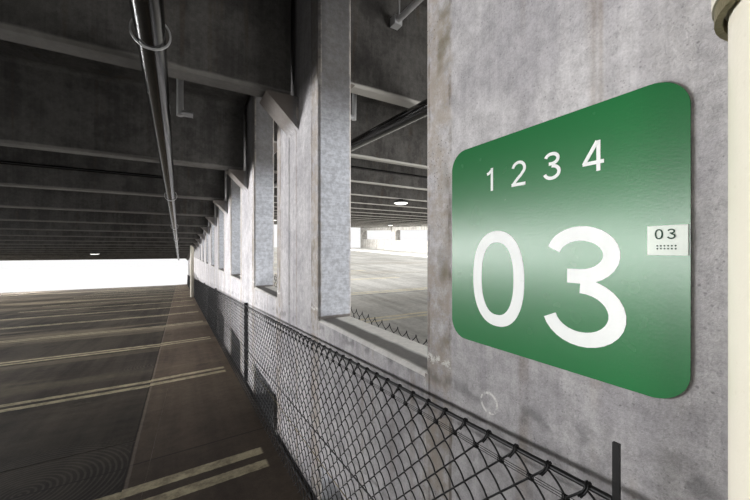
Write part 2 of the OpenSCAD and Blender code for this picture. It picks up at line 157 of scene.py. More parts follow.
class Value:
    """A shader value. Python arithmetic on it adds Math nodes."""

    def __init__(self, graph: "Tree", socket: bpy.types.NodeSocket) -> None:
        """Wraps an output socket of a tree."""
        self.graph = graph
        self.socket = socket

    def math(self, operation: str, *others: Union["Value", Number], flip: bool = False) -> "Value":
        """Adds one Math node.

        Args:
            operation: The node's operation.
            others: The other operands.
            flip: Puts this value second.

        Returns:
            The node's result.
        """
        operands = [*others, self] if flip else [self, *others]
        node = self.graph.node("ShaderNodeMath", {"operation": operation}, dict(enumerate(operands)))
        return Value(self.graph, node.outputs[0])

    def __add__(self, other: Union["Value", Number]) -> "Value":
        """Sum."""
        return self.math("ADD", other)

    __radd__ = __add__

    def __mul__(self, other: Union["Value", Number]) -> "Value":
        """Product."""
        return self.math("MULTIPLY", other)

    __rmul__ = __mul__

    def __sub__(self, other: Union["Value", Number]) -> "Value":
        """Difference."""
        return self.math("SUBTRACT", other)

    def __rsub__(self, other: Number) -> "Value":
        """Difference from a number."""
        return self.math("SUBTRACT", other, flip=True)

    def __truediv__(self, other: Union["Value", Number]) -> "Value":
        """Quotient."""
        return self.math("DIVIDE", other)

    def __pow__(self, other: Number) -> "Value":
        """Power."""
        return self.math("POWER", other)

    def __abs__(self) -> "Value":
        """Absolute value."""
        return self.math("ABSOLUTE")

    def repeat(self, period: float, start: float) -> "Value":
        """Distance from the nearest of the places start + n * period."""
        return abs(self.math("WRAP", start + period / 2, start - period / 2) - start)

    def near(self, place: float, reach: float) -> "Value":
        """1 within half the reach of a place, falling to 0 at the whole reach."""
        return abs(self - place).step(reach, reach / 2)

    def step(self, low: float, high: float) -> "Value":
        """Smooth step.

        Args:
            low: Where it is 0.
            high: Where it is 1, above or below low.

        Returns:
            The stepped value.
        """
        settings = {"interpolation_type": "SMOOTHSTEP", "clamp": True}
        if low < high:
            inputs = {"Value": self, "From Min": low, "From Max": high, "To Min": 0.0, "To Max": 1.0}
        else:
            inputs = {"Value": self, "From Min": high, "From Max": low, "To Min": 1.0, "To Max": 0.0}
        node = self.graph.node("ShaderNodeMapRange", settings, inputs)
        return Value(self.graph, node.outputs[0])

    def least(self, other: Union["Value", Number]) -> "Value":
        """The smaller of two values."""
        return self.math("MINIMUM", other)

    def most(self, other: Union["Value", Number]) -> "Value":
        """The larger of two values."""
        return self.math("MAXIMUM", other)


Input = Union[Value, bpy.types.NodeSocket, Number, Sequence[float]]


class Tree:
    """A node tree that is filled through one method."""

    def __init__(self, tree: bpy.types.NodeTree) -> None:
        """Empties the tree."""
        self.tree = tree
        tree.nodes.clear()

    def node(self, kind: str, settings: Optional[Mapping[str, Any]] = None,
             inputs: Optional[Mapping[Union[int, str], Input]] = None) -> bpy.types.Node:
        """Adds any node: its settings are set first, then its sockets are filled or linked.

        Args:
            kind: The node's type.
            settings: Its properties by name.
            inputs: Numbers, colours, values or sockets by input name or place.

        Returns:
            The node.
        """
        node = self.tree.nodes.new(kind)
        for name, setting in (settings or {}).items():
            setattr(node, name, setting)
        for key, given in (inputs or {}).items():
            given = given.socket if isinstance(given, Value) else given
            if isinstance(given, bpy.types.NodeSocket):
                self.tree.links.new(given, node.inputs[key])
            else:
                node.inputs[key].default_value = given
        return node


class Graph(Tree):
    """The node tree of one material, with the object's places and the ways its faces point."""

    def __init__(self, name: str) -> None:
        """Makes an empty material of that name.

        Args:
            name: The material's name.
        """
        self.material = bpy.data.materials.new(name)
        self.material.use_nodes = True
        super().__init__(self.material.node_tree)
        self.places = self.node("ShaderNodeTexCoord").outputs["Object"]
        split = self.node("ShaderNodeSeparateXYZ", inputs={0: self.places})
        self.x, self.y, self.z = (Value(self, split.outputs[i]) for i in range(3))
        turned = self.node("ShaderNodeNewGeometry")
        faces = self.node("ShaderNodeSeparateXYZ", inputs={0: turned.outputs["Normal"]})
        self.facing_x, self.facing_y, self.facing_z = (Value(self, faces.outputs[i]) for i in range(3))

    def scaled(self, x: float, y: float, z: float) -> bpy.types.NodeSocket:
        """Object coordinates, each times its own factor."""
        node = self.node("ShaderNodeVectorMath", {"operation": "MULTIPLY"}, {0: self.places, 1: (x, y, z)})
        return node.outputs[0]

    def noise(self, scale: float, detail: float = 3.0, rough: float = 0.5,
              stretch: Tuple[float, float, float] = (1.0, 1.0, 1.0)) -> Value:
        """Cloudy noise from about 0.2 to 0.8.

        Args:
            scale: Patches per metre.
            detail: Number of finer layers.
            rough: Strength of the finer layers.
            stretch: Factors on the object coordinates.

        Returns:
            The noise value.
        """
        inputs = {"Vector": self.scaled(*stretch), "Scale": scale, "Detail": detail, "Roughness": rough}
        return Value(self, self.node("ShaderNodeTexNoise", inputs=inputs).outputs[0])

    def cells(self, scale: float,
              stretch: Tuple[float, float, float] = (1.0, 1.0, 1.0)) -> Tuple[Value, Value]:
        """Scattered cells.

        Args:
            scale: Cells per metre.
            stretch: Factors on the object coordinates.

        Returns:
            The distance from the nearest middle and a random value of its cell.
        """
        node = self.node("ShaderNodeTexVoronoi", inputs={"Vector": self.scaled(*stretch), "Scale": scale})
        split = self.node("ShaderNodeSeparateColor", inputs={0: node.outputs["Color"]})
        return Value(self, node.outputs["Distance"]), Value(self, split.outputs[0])

    def spots(self, scale: float, size: float, share: float,
              stretch: Tuple[float, float, float] = (1.0, 1.0, 1.0)) -> Value:
        """Round soft spots in some of the cells.

        Args:
            scale: Cells per metre.
            size: Spot radius as a share of a cell.
            share: Share of the cells that hold a spot.
            stretch: Factors on the object coordinates.

        Returns:
            A mask.
        """
        distance, pick = self.cells(scale, stretch)
        return distance.step(size, size * 0.45) * pick.step(share, share - 0.04)

    def tint(self, base: Input, over: Input, factor: Input) -> bpy.types.NodeSocket:
        """Lays a colour over another by a factor.

        Args:
            base: Colour at factor 0.
            over: Colour at factor 1.
            factor: Value from 0 to 1.

        Returns:
            The mixed colour.
        """
        given = [(*c, 1.0) if isinstance(c, tuple) else c for c in (base, over)]
        inputs = {0: factor, 6: given[0], 7: given[1]}
        return self.node("ShaderNodeMix", {"data_type": "RGBA", "clamp_factor": True}, inputs).outputs[2]

    def shade(self, base: Input, gain: Value) -> bpy.types.NodeSocket:
        """Multiplies a colour by a value.

        Args:
            base: The colour.
            gain: The value.

        Returns:
            The shaded colour.
        """
        grey = self.node("ShaderNodeCombineColor", inputs={0: gain, 1: gain, 2: gain}).outputs[0]
        inputs = {0: 1.0, 6: (*base, 1.0) if isinstance(base, tuple) else base, 7: grey}
        settings = {"data_type": "RGBA", "blend_type": "MULTIPLY"}
        return self.node("ShaderNodeMix", settings, inputs).outputs[2]

    def relief(self, height: Value, depth: float) -> bpy.types.NodeSocket:
        """Turns a height into a bumped normal, with depth the metres between height 0 and 1."""
        inputs = {"Height": height, "Distance": depth, "Strength": 1.0}
        return self.node("ShaderNodeBump", inputs=inputs).outputs[0]

    def finish(self, inputs: Mapping[Union[int, str], Input]) -> bpy.types.Material:
        """Ends the graph with one Principled shader.

        Args:
            inputs: The shader's sockets.

        Returns:
            The material.
        """
        shader = self.node("ShaderNodeBsdfPrincipled", inputs=inputs)
        self.node("ShaderNodeOutputMaterial", inputs={0: shader.outputs[0]})
        return self.material


# Finishes


@dataclass(frozen=True)
class Concrete:
    """Cast concrete with clouds, streaks down the form, small holes and a fine grain."""

    name: str
    light: Colour
    dark: Colour
    stain: Colour
    streaks: float = 0.5
    clouds: float = 0.5
    holes: float = 0.25
    roughness: float = 0.82
    relief: float = 0.0022
    shine: float = 0.18

    def body(self, graph: Graph) -> Tuple[bpy.types.NodeSocket, Value]:
        """Colour and height of the plain cast face.

        Args:
            graph: The material's graph.

        Returns:
            The colour and the height value.
        """
        waver = graph.noise(5.0, 3.0)
        wide = graph.noise(1.0, 2.0, 0.5, (6.5, 6.5, 0.3)).step(0.4, 0.6)
        thin = (graph.noise(1.0, 4.0, 0.7, (38.0, 38.0, 0.9)) + 0.12 * waver).step(0.42, 0.66)
        cloud = graph.noise(3.2, 4.0, 0.7).step(0.36, 0.66)
        mottle = graph.noise(26.0, 5.0, 0.8).step(0.3, 0.7)
        grain = graph.noise(200.0, 3.0, 0.8).step(0.25, 0.75)
        mark = self.streaks * (0.55 * wide + 0.45 * thin) + self.clouds * cloud
        tone = (mark / (self.streaks + self.clouds)).step(0.15, 0.9)
        colour = graph.tint(self.light, self.dark, tone)
        run = (graph.noise(1.0, 3.0, 0.6, (11.0, 11.0, 0.2)) + 0.1 * waver).step(0.62, 0.7)
        colour = graph.tint(colour, self.stain, run * 0.6 * graph.noise(4.0, 4.0, 0.7).step(0.35, 0.62))
        sinks = graph.noise(21.0, 2.0, 0.6).step(0.4, 0.62)
        pits = graph.spots(60.0, 0.17, self.holes) * sinks
        fine = graph.spots(150.0, 0.28, self.holes * 1.6) * (0.3 + 0.7 * sinks)
        scars = graph.noise(1.0, 4.0, 0.8, (75.0, 75.0, 38.0)).step(0.6, 0.7)
        worn = (pits * 0.65).most(fine * 0.5).most(scars * 0.34)
        colour = graph.tint(colour, tuple(0.4 * c for c in self.dark), worn)
        colour = graph.shade(colour, 0.68 + 0.36 * mottle + 0.28 * grain)
        return colour, 0.3 + 0.22 * grain + 0.22 * mottle

    def dressed(self, graph: Graph) -> Tuple[bpy.types.NodeSocket, Value]:
        """Colour and height with all marks of this kind of piece."""
        return self.body(graph)

    def material(self) -> bpy.types.Material:
        """Makes the material.

        Returns:
            The material.
        """
        graph = Graph(self.name)
        colour, height = self.dressed(graph)
        return graph.finish({
            "Base Color": colour, "Roughness": self.roughness, "Specular IOR Level": self.shine,
            "Normal": graph.relief(height, self.relief),
        })


@dataclass(frozen=True)
class WallConcrete(Concrete):
    """The middle wall: worn strips beside its openings, brushed reveals, sills with a painted shadow band,
    and painted light and shade in places.
    """

    strip: Colour = srgb(170, 158, 144)
    seam: Colour = srgb(92, 82, 70)
    # Reveal colours, paler and bluer than the face: partly painted light.
    reveal: Colour = srgb(210, 213, 220)
    reveal_dark: Colour = srgb(172, 175, 182)
    shaded: Colour = srgb(72, 69, 66)
    olive: Colour = srgb(112, 104, 78)
    # Corbels darker than the face: painted shade.
    corbel_shade: Colour = srgb(120, 112, 104)
    # Sill colours: a pale top, partly painted light, and a painted shadow band.
    sill_pale: Colour = srgb(238, 235, 228)
    sill_shadow: Colour = srgb(62, 58, 53)
    chip: Colour = srgb(238, 236, 230)
    bores: Colour = (0.09, 0.085, 0.08)
    # Near-black of the painted shadow of the fence's knuckles on the wall.
    knuckle_shadow: Colour = (0.1, 0.1, 0.105)
    rust: Colour = srgb(186, 178, 166)
    head_up: float = 2.83
    jamb_head: float = 2.75
    foot_up: float = 0.35
    fence_top: float = 0.965
    ring_up: float = 0.945
    ring_y: float = -17.166
    ring_r: float = 0.024

    @property
    def low_sill(self) -> float:
        """Height of the sills under the lowest row of openings."""
        return BAYS.level_z(2) - BAYS.storey + BAYS.sill_h

    def left_face(self, graph: Graph) -> Value:
        """Mask of the wall's left face."""
        return graph.x.step(-BAYS.wall_t / 4, -0.4 * BAYS.wall_t)

    def beside_openings(self, graph: Graph, colour: bpy.types.NodeSocket) -> bpy.types.NodeSocket:
        """Lays the worn strips, their seams, stains and white chips over the face.

        Args:
            graph: The material's graph.
            colour: The face's colour.

        Returns:
            The colour.
        """
        edge = graph.y.repeat(BAYS.pitch, BAYS.near_y) - BAYS.opening_w / 2
        ragged = edge + 0.05 * graph.noise(9.0, 5.0, 0.7) - 0.025
        strip = ragged.step(0.125, 0.105) * ragged.step(-0.02, 0.0)
        blotch = graph.noise(15.0, 4.0, 0.78).step(0.35, 0.63)
        colour = graph.tint(colour, self.strip, strip * blotch * 0.75)
        waver = edge + 0.02 * graph.noise(4.0, 4.0, 0.7) - 0.01
        broken = graph.noise(6.0, 5.0, 0.7).step(0.42, 0.6)
        lines = (waver.near(0.112, 0.008) * 0.7).most(waver.near(0.02, 0.006) * 0.55)
        colour = graph.tint(colour, self.seam, lines * broken)
        olive = waver.near(0.085, 0.035) * graph.noise(2.3, 4.0, 0.7).step(0.54, 0.68)
        colour = graph.tint(colour, self.olive, olive * 0.7)
        cluster = graph.spots(110.0, 0.3, 0.6) * strip * graph.noise(4.5, 2.0).step(0.55, 0.68)
        colour = graph.tint(colour, self.bores, cluster * 0.7)
        over_sill = graph.z.repeat(BAYS.storey, self.low_sill + 0.055)
        ledge = (over_sill + 0.05 * graph.noise(22.0, 5.0, 0.8) - 0.025).step(0.016, 0.006)
        chips = ledge * strip.step(0.3, 0.8) * graph.noise(52.0, 4.0, 0.8).step(0.47, 0.54)
        arris = abs(edge).step(0.007, 0.002) * graph.noise(18.0, 5.0, 0.8).step(0.46, 0.62)
        return graph.tint(colour, self.chip, (chips * 0.95).most(arris * 0.5))

    def marks(self, graph: Graph, colour: bpy.types.NodeSocket) -> bpy.types.NodeSocket:
        """Lays dark blobs above the fence, painted shadow of its knuckles, painted shade under the stems and
        near the near end, and a ring under each sign.

        Args:
            graph: The material's graph.
            colour: The face's colour.

        Returns:
            The colour.
        """
        over_deck = graph.z + BAYS.fall * (graph.y - BAYS.level_y)
        left = self.left_face(graph)
        # Dark blobs just above the fence's top: painted shadow of its knuckles.
        band = over_deck.repeat(BAYS.storey, BAYS.level_z(2) + self.fence_top).step(0.035, 0.005)
        knuckle_shadows = band * graph.noise(15.0, 2.0).step(0.5, 0.62) * left
        colour = graph.tint(colour, self.knuckle_shadow, knuckle_shadows * 0.45)
        ragged = 0.06 * graph.noise(3.0, 4.0) - 0.03
        # Painted shade on the left face above the stems' feet, in the shaded colour.
        stem_shade = over_deck.repeat(BAYS.storey, BAYS.level_z(2) + self.head_up) + ragged
        colour = graph.tint(colour, self.shaded, stem_shade.step(0.5, 0.38) * left * 0.7)
        # Painted shade near the near end: darker towards the foot of the wall, and again high in each storey.
        foot = over_deck.repeat(BAYS.storey, BAYS.level_z(2) + self.foot_up) + ragged
        low_shade = foot.step(1.35, 0.45) * graph.y.step(-14.0, -17.0) * left
        colour = graph.shade(colour, 1 - 0.42 * low_shade)
        up = graph.z.repeat(BAYS.storey, BAYS.level_z(2) + self.ring_up)
        across = graph.y - self.ring_y
        far = (up * up + across * across) ** 0.5
        ring = far.near(self.ring_r, 0.004) * graph.noise(70.0, 3.0).step(0.4, 0.55) * left
        return graph.tint(colour, self.chip, ring * 0.45)

    def inside_openings(self, graph: Graph, colour: bpy.types.NodeSocket) -> bpy.types.NodeSocket:
        """Dresses the reveals, brushed across and partly painted light, with painted shade at their heads;
        the sills, pale and partly painted light, with a painted shadow band; and the corbels in painted
        shade.

        Args:
            graph: The material's graph.
            colour: The face's colour.

        Returns:
            The colour.
        """
        jamb = abs(graph.facing_y).step(0.5, 0.9)
        brushed = graph.noise(1.0, 4.0, 0.7, (9.0, 9.0, 110.0)) * 0.3 + graph.noise(30.0, 5.0, 0.85) * 0.7
        reveal = graph.tint(self.reveal, self.reveal_dark, brushed.step(0.4, 0.6))
        # Painted shade at the heads of the reveals, stronger on the camera's level.
        head = graph.z.repeat(BAYS.storey, BAYS.level_z(2) + self.jamb_head) + 0.1 * graph.noise(5.0, 4.0)
        upper = graph.z.step(BAYS.level_z(3) + 0.4, BAYS.level_z(3) + 0.8)
        reveal = graph.tint(reveal, self.shaded, head.step(0.95, 0.5) * (0.5 + 0.4 * upper))
        foot = graph.z.repeat(BAYS.storey, self.low_sill + 0.006).step(0.012, 0.007)
        reveal = graph.tint(reveal, self.seam, foot * 0.8)
        rusty = abs(graph.x).near(BAYS.wall_t / 2, 0.022) * graph.noise(7.0, 5.0, 0.75).step(0.4, 0.6)
        reveal = graph.tint(reveal, self.rust, rusty * 0.7)
        colour = graph.tint(colour, reveal, jamb * 0.9)
        up = graph.facing_z.step(0.5, 0.9)
        # Sill tops: pale, partly painted light, with a painted shadow band near the left face.
        swept = (graph.x + 0.02 * graph.noise(6.0, 3.0)).near(-0.03, 0.055)
        ledge = graph.tint(self.sill_pale, self.sill_shadow, swept * 0.85)
        ledge = graph.shade(ledge, 0.7 + 0.6 * graph.noise(40.0, 5.0, 0.7))
        colour = graph.tint(colour, ledge, up * 0.9)
        # Corbels painted darker: painted shade.
        corbel_shade = abs(graph.x).step(BAYS.wall_t / 2 + 0.008, BAYS.wall_t / 2 + 0.06)
        return graph.tint(colour, self.corbel_shade, corbel_shade * 0.8)

    def dressed(self, graph: Graph) -> Tuple[bpy.types.NodeSocket, Value]:
        """Colour and height of the wall, from the plain face to its openings.

        Args:
            graph: The material's graph.

        Returns:
            The colour and the height value.
        """
        colour, height = self.body(graph)
        colour = self.marks(graph, self.beside_openings(graph, colour))
        return self.inside_openings(graph, colour), height


@dataclass(frozen=True)
class DeckConcrete(Concrete):
    """Tee decks: a worn top with swirls, tyre tracks, stall lines and painted light and shade, and a grey
    underside with painted light on the stems' feet.
    """

    roughness: float = 0.7
    top: Colour = srgb(98, 90, 80)
    top_dark: Colour = srgb(54, 49, 45)
    # The right bay's top, far paler than the left's: painted light.
    right_top_lit: Colour = srgb(206, 204, 198)
    right_dark_lit: Colour = srgb(160, 158, 152)
    paint: Colour = srgb(226, 214, 178)
    stall_pitch: float = 2.33
    stall_y: float = -15.402
    stall_l: float = 5.6
    stripe_w: float = 0.1
    stripe_off: float = 0.0875
    lines_from: float = 0.25
    # Colour of the painted sheen on the left deck.
    sheen: Colour = srgb(172, 158, 134)
    # Colour of the painted light on the stems' feet.
    arris: Colour = srgb(176, 173, 166)
    swirl: Colour = srgb(176, 166, 154)
    drip: Colour = srgb(44, 40, 38)
    cut: Colour = srgb(36, 33, 31)
    strip_edge: Colour = srgb(160, 150, 138)
    swirl_ring: float = 0.032
    swirl_x: float = -1.57
    swirl_y: float = -14.97
    strip_to: float = 1.05
    cut_pitch: float = 3.22
    cut_y: float = -14.99

    def right_bay(self, graph: Graph) -> Value:
        """Mask of the right bay."""
        return graph.x.step(-BAYS.wall_t / 4, BAYS.wall_t / 4)

    def lines(self, graph: Graph) -> Value:
        """Mask of the paired stall lines, which stop short of the fence.

        Args:
            graph: The material's graph.

        Returns:
            The mask.
        """
        pair = abs(graph.y.repeat(self.stall_pitch, self.stall_y) - self.stripe_off)
        pair = pair + 0.012 * graph.noise(40.0, 3.0) - 0.006
        stripe = pair.step(self.stripe_w / 2, self.stripe_w / 2 - 0.008)
        out = abs(graph.x)
        span = out.step(self.lines_from, self.lines_from + 0.02) * out.step(self.stall_l + 0.02, self.stall_l)
        wear = graph.noise(9.0, 4.0, 0.75).step(0.3, 0.62)
        return stripe * span * (0.3 + 0.5 * wear)

    def swirls(self, graph: Graph) -> Tuple[Value, Value]:
        """Trowel swirls: the sine of the distance from scattered middles, and one fixed middle.

        Args:
            graph: The material's graph.

        Returns:
            The wave and the mask where it shows.
        """
        turn = 2 * math.pi / self.swirl_ring
        scale = 0.42
        distance, pick = graph.cells(scale, (1.0, 1.0, 0.0))
        wave = (distance * (turn / scale) + 3.0 * graph.noise(2.2, 2.0)).math("SINE")
        mask = distance.step(0.3, 0.1) * pick.step(0.35, 0.6)
        east, north = graph.x - self.swirl_x, graph.y - self.swirl_y
        far = (east * east + north * north) ** 0.5
        fixed = far.step(0.66, 0.5)
        own = (far * turn + 2.0 * graph.noise(2.2, 2.0)).math("SINE")
        inside = abs(graph.x).step(self.strip_to, self.strip_to + 0.02)
        return wave * (1 - fixed) + own * fixed, mask.most(fixed * 1.6) * inside

    def top_face(self, graph: Graph) -> Tuple[bpy.types.NodeSocket, Value]:
        """Colour and height of the worn top, with painted sheen, painted shade near the near end and painted
        light on the right bay.

        Args:
            graph: The material's graph.

        Returns:
            The colour and the height value.
        """
        cloud = graph.noise(0.55, 5.0, 0.66).step(0.36, 0.66)
        tracks = graph.noise(1.0, 5.0, 0.66, (3.2, 0.14, 1.0)).step(0.4, 0.64)
        right = self.right_bay(graph)
        # The right bay's top painted far paler: painted light.
        pale = graph.tint(self.top, self.right_top_lit, right)
        dark = graph.tint(self.top_dark, self.right_dark_lit, right)
        colour = graph.tint(pale, dark, cloud * 0.55 + tracks * 0.45)
        # Pale bands across the left deck, stronger further off: painted sheen.
        sheen_bands = graph.noise(1.0, 4.0, 0.62, (0.11, 0.75, 1.0)).step(0.5, 0.62)
        painted_sheen = sheen_bands * (0.1 + 0.45 * graph.y.step(-15.0, -7.5)) * (1 - 0.6 * right)
        colour = graph.tint(colour, self.sheen, painted_sheen)
        wave, shown = self.swirls(graph)
        colour = graph.tint(colour, self.swirl, wave.step(-0.2, 0.9) * shown * 0.13)
        drops = graph.spots(1.7, 0.3, 0.45, (1.0, 1.0, 0.0)).least(graph.noise(18.0, 4.0).step(0.35, 0.6))
        colour = graph.tint(colour, self.drip, drops * 0.5 * (1 - 0.6 * right))
        # The left bay's top darker towards the near end, here and again after the lines: painted shade.
        near = graph.y.step(-11.5, -15.5) * (1 - right)
        colour = graph.shade(colour, 1 - 0.45 * near)
        out = abs(graph.x) + 0.014 * graph.noise(5.0, 4.0, 0.7) - 0.007
        cuts = graph.y.repeat(self.cut_pitch, self.cut_y).step(0.009, 0.003)
        joint = out.near(self.strip_to + 0.004, 0.009).most(cuts * (1 - right))
        colour = graph.tint(colour, self.cut, joint * 0.75)
        colour = graph.tint(colour, self.strip_edge, out.near(self.strip_to - 0.016, 0.012) * 0.35)
        colour = graph.tint(colour, self.paint, self.lines(graph))
        grain = graph.noise(110.0, 4.0, 0.8).step(0.25, 0.75)
        blotch = graph.noise(12.0, 5.0, 0.75).step(0.3, 0.7)
        colour = graph.shade(colour, (0.72 + 0.28 * grain + 0.28 * blotch) * (1 - 0.38 * near))
        return colour, 0.4 + 0.3 * grain + 0.2 * blotch

    def lit_stem_feet(self, graph: Graph, colour: bpy.types.NodeSocket) -> bpy.types.NodeSocket:
        """Pales the undersides of the stems and the lowest part of their sides: painted light from below,
        much stronger in the right bay.

        Args:
            graph: The material's graph.
            colour: The underside's colour.

        Returns:
            The colour.
        """
        right = self.right_bay(graph)
        slope = (BAYS.rise + BAYS.fall) * right - BAYS.fall
        up = graph.z - slope * (graph.y - BAYS.level_y)
        foot = up.repeat(BAYS.storey, BAYS.level_z(2) - BAYS.tee_d) + 0.02 * graph.noise(7.0, 4.0) - 0.01
        return graph.tint(colour, self.arris, foot.step(0.03, 0.014) * (0.22 + 0.7 * right))

    def dressed(self, graph: Graph) -> Tuple[bpy.types.NodeSocket, Value]:
        """Colour and height of the deck: the top on what faces up, and the plain face elsewhere.

        Args:
            graph: The material's graph.

        Returns:
            The colour and the height value.
        """
        below, low_height = self.body(graph)
        above, high_height = self.top_face(graph)
        up = graph.facing_z.step(0.4, 0.6)
        colour = graph.tint(self.lit_stem_feet(graph, below), above, up)
        return colour, low_height * (1 - up) + high_height * up


@dataclass(frozen=True)
class Paint:
    """Painted or coated metal or plastic with dust, runs and small scratches."""

    name: str
    colour: Colour
    dust: Colour
    dusty: float = 0.15
    roughness: float = 0.35
    metallic: float = 0.0
    coat: float = 0.0
    shine: float = 0.5
    uneven: float = 0.16
    grain: float = 0.0003
    edge: Optional[Colour] = None

    def material(self) -> bpy.types.Material:
        """Makes the material. An edge colour covers all faces that don't face along X.

        Returns:
            The material.
        """
        graph = Graph(self.name)
        cloud = graph.noise(7.0, 5.0, 0.65).step(0.35, 0.75)
        runs = graph.noise(1.0, 3.0, 0.6, (60.0, 60.0, 2.0)).step(0.45, 0.75)
        specks = graph.spots(90.0, 0.22, 0.2)
        film = (0.6 * cloud + 0.4 * runs + 0.6 * specks) * self.dusty
        colour = graph.tint(self.colour, self.dust, film)
        if self.edge is not None:
            colour = graph.tint(self.edge, colour, abs(graph.facing_x).step(0.6, 0.8))
        rough = graph.noise(20.0, 2.0) * self.uneven + film * (3 * self.uneven)
        rough = rough + (self.roughness - self.uneven / 2)
        height = graph.noise(220.0, 2.0)
        return graph.finish({
            "Base Color": colour, "Metallic": self.metallic, "Roughness": rough,
            "Specular IOR Level": self.shine, "Coat Weight": self.coat, "Coat Roughness": self.roughness,
            "Normal": graph.relief(height, self.grain),
        })


@dataclass(frozen=True)
class Glow:
    """A lamp lens that is lit."""

    name: str
    colour: Colour
    strength: float

    def material(self) -> bpy.types.Material:
        """Makes the material, a little uneven over the lens.

        Returns:
            The material.
        """
        graph = Graph(self.name)
        uneven = graph.noise(25.0, 2.0).step(0.2, 0.8) * 0.15 + 0.85
        return graph.finish({
            "Base Color": graph.shade(self.colour, uneven), "Roughness": 0.4,
            "Emission Color": graph.shade(self.colour, uneven), "Emission Strength": self.strength,
        })


@dataclass
class Finishes:
    """Every finish by the record's slot, made once and shared."""

    made: Dict[str, bpy.types.Material] = field(default_factory=dict)

    def __post_init__(self) -> None:
        """Makes the materials."""
        wall = WallConcrete("wall_concrete", srgb(200, 197, 198), srgb(174, 171, 174), srgb(152, 140, 128))
        # The deck's plain colours are dark: painted shade of the ceilings.
        deck = DeckConcrete("deck_concrete", srgb(82, 80, 77), srgb(62, 60, 58), srgb(72, 64, 56), 0.4, 0.6)
        wash = DeckConcrete("wash_concrete", srgb(150, 145, 138), srgb(118, 112, 106), srgb(112, 96, 80),
                            top=srgb(126, 111, 96), top_dark=srgb(92, 80, 70))
        plain = Concrete("frame_concrete", srgb(180, 177, 170), srgb(142, 139, 134), srgb(110, 100, 88),
                         0.7, 0.5)
        dust = srgb(150, 146, 138)
        paints = [
            Paint("pad", srgb(34, 34, 36), dust, 0.2, 0.75, grain=0.001),
            Paint("black_steel", srgb(16, 16, 18), dust, 0.05, 0.42, shine=0.3),
            Paint("woven_wire", srgb(13, 13, 15), dust, 0.04, 0.45, shine=0.25),
            Paint("black_pipe", srgb(12, 12, 12), dust, 0.03, 0.12, uneven=0.06),
            Paint("hanger_steel", srgb(196, 196, 196), dust, 0.25, 0.34, metallic=0.4),
            Paint("cream_pipe", srgb(226, 220, 204), srgb(196, 186, 164), 0.25, 0.36),
            Paint("clamp", srgb(124, 116, 88), srgb(66, 58, 44), 0.6, 0.5, metallic=0.3, grain=0.001),
            Paint("sign_green", srgb(14, 108, 52), srgb(60, 128, 88), 0.015, 0.27, coat=0.18, uneven=0.02,
                  grain=0.0001, edge=srgb(12, 14, 13)),
            Paint("plate_ink", srgb(30, 66, 48), srgb(60, 96, 76), 0.1, 0.6, shine=0.2),
            Paint("touch_plate", srgb(232, 240, 230), srgb(212, 224, 212), 0.3, 0.4),
            Paint("sign_white", srgb(242, 244, 242), srgb(214, 218, 212), 0.2, 0.4),
            Paint("sealant", srgb(98, 92, 86), dust, 0.4, 0.8, grain=0.001),
            Paint("lamp_metal", srgb(58, 58, 60), dust, 0.3, 0.45, metallic=0.4),
        ]
        for finish in (wall, deck, wash, plain, *paints):
            self.made[finish.name] = finish.material()
        self.made["lamp"] = self.made["lamp_metal"]
        self.made["lens"] = Glow("lamp_lens", srgb(250, 250, 245), 1.6).material()

    def dress_nodes(self) -> None:
        """Gives every CAD node the material of its slot."""
        for part in frame["record"]["subparts"]:
            data = frame["nodes"][part["node"]].data
            data.materials.clear()
            data.materials.append(self.made[part["material_slot"]])


# Mesh helpers


Shape = Tuple[np.ndarray, List[np.ndarray]]


def joined(shapes: Sequence[Shape]) -> Shape:
    """Puts several shapes into one, with their faces renumbered.

    Args:
        shapes: Pairs of vertices and lists of face arrays.

    Returns:
        One such pair.
    """
    starts = np.cumsum([0] + [len(v) for v, _ in shapes])
    widths = sorted({f.shape[1] for _, faces in shapes for f in faces})
    sets = [np.concatenate([f + s for (_, faces), s in zip(shapes, starts) for f in faces if f.shape[1] == w])
            for w in widths]
    return np.concatenate([v for v, _ in shapes]), sets


def add_piece(name: str, shape: Shape, material: bpy.types.Material,
              smooth: bool = True, replaces: Sequence[str] = ()) -> bpy.types.Object:
    """Makes a mesh object that rides on the frame.

    Args:
        name: The piece's name.
        shape: Vertices and a list of face arrays, one for each number of corners.
        material: Its material.
        smooth: Shades it smooth.
        replaces: The CAD nodes that it stands for.

    Returns:
        The object.
    """
    vertices, faces = shape
    mesh = bpy.data.meshes.new(name)
    mesh.vertices.add(len(vertices))
    mesh.vertices.foreach_set("co", np.asarray(vertices, np.float32).ravel())
    loops = np.concatenate([f.ravel() for f in faces]).astype(np.int32)
    counts = np.concatenate([np.full(len(f), f.shape[1]) for f in faces])
    mesh.loops.add(len(loops))
    mesh.loops.foreach_set("vertex_index", loops)
    mesh.polygons.add(len(counts))
    mesh.polygons.foreach_set("loop_start", np.concatenate([[0], np.cumsum(counts)[:-1]]).astype(np.int32))
    mesh.polygons.foreach_set("use_smooth", np.full(len(counts), smooth))
    mesh.update(calc_edges=True)
    mesh.materials.append(material)
    piece = bpy.data.objects.new(name, mesh)
    bpy.context.scene.collection.objects.link(piece)
    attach(piece, "root")
    if replaces:
        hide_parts(*replaces)
    triangles = int((counts - 2).sum())
    LOG.info("%s: %d triangles", name, triangles)
    return piece


def grid_faces(rows: int, columns: int, copies: int, wrap: bool) -> np.ndarray:
    """Quads over copies of a grid of rows by columns points.

    Args:
        rows: Points along the path.
        columns: Points round the section.
        copies: Number of grids, one after the other.
        wrap: Joins the last column to the first.

    Returns:
        An array of quads.
    """
    i = np.arange(rows - 1)[:, None]
    j = np.arange(columns if wrap else columns - 1)[None, :]
    k = (j + 1) % columns
    quad = np.stack([i * columns + j, i * columns + k, (i + 1) * columns + k, (i + 1) * columns + j], axis=-1)
    quad = quad.reshape(-1, 4)
    shift = (np.arange(copies) * rows * columns)[:, None, None]
    return (quad[None] + shift).reshape(-1, 4)


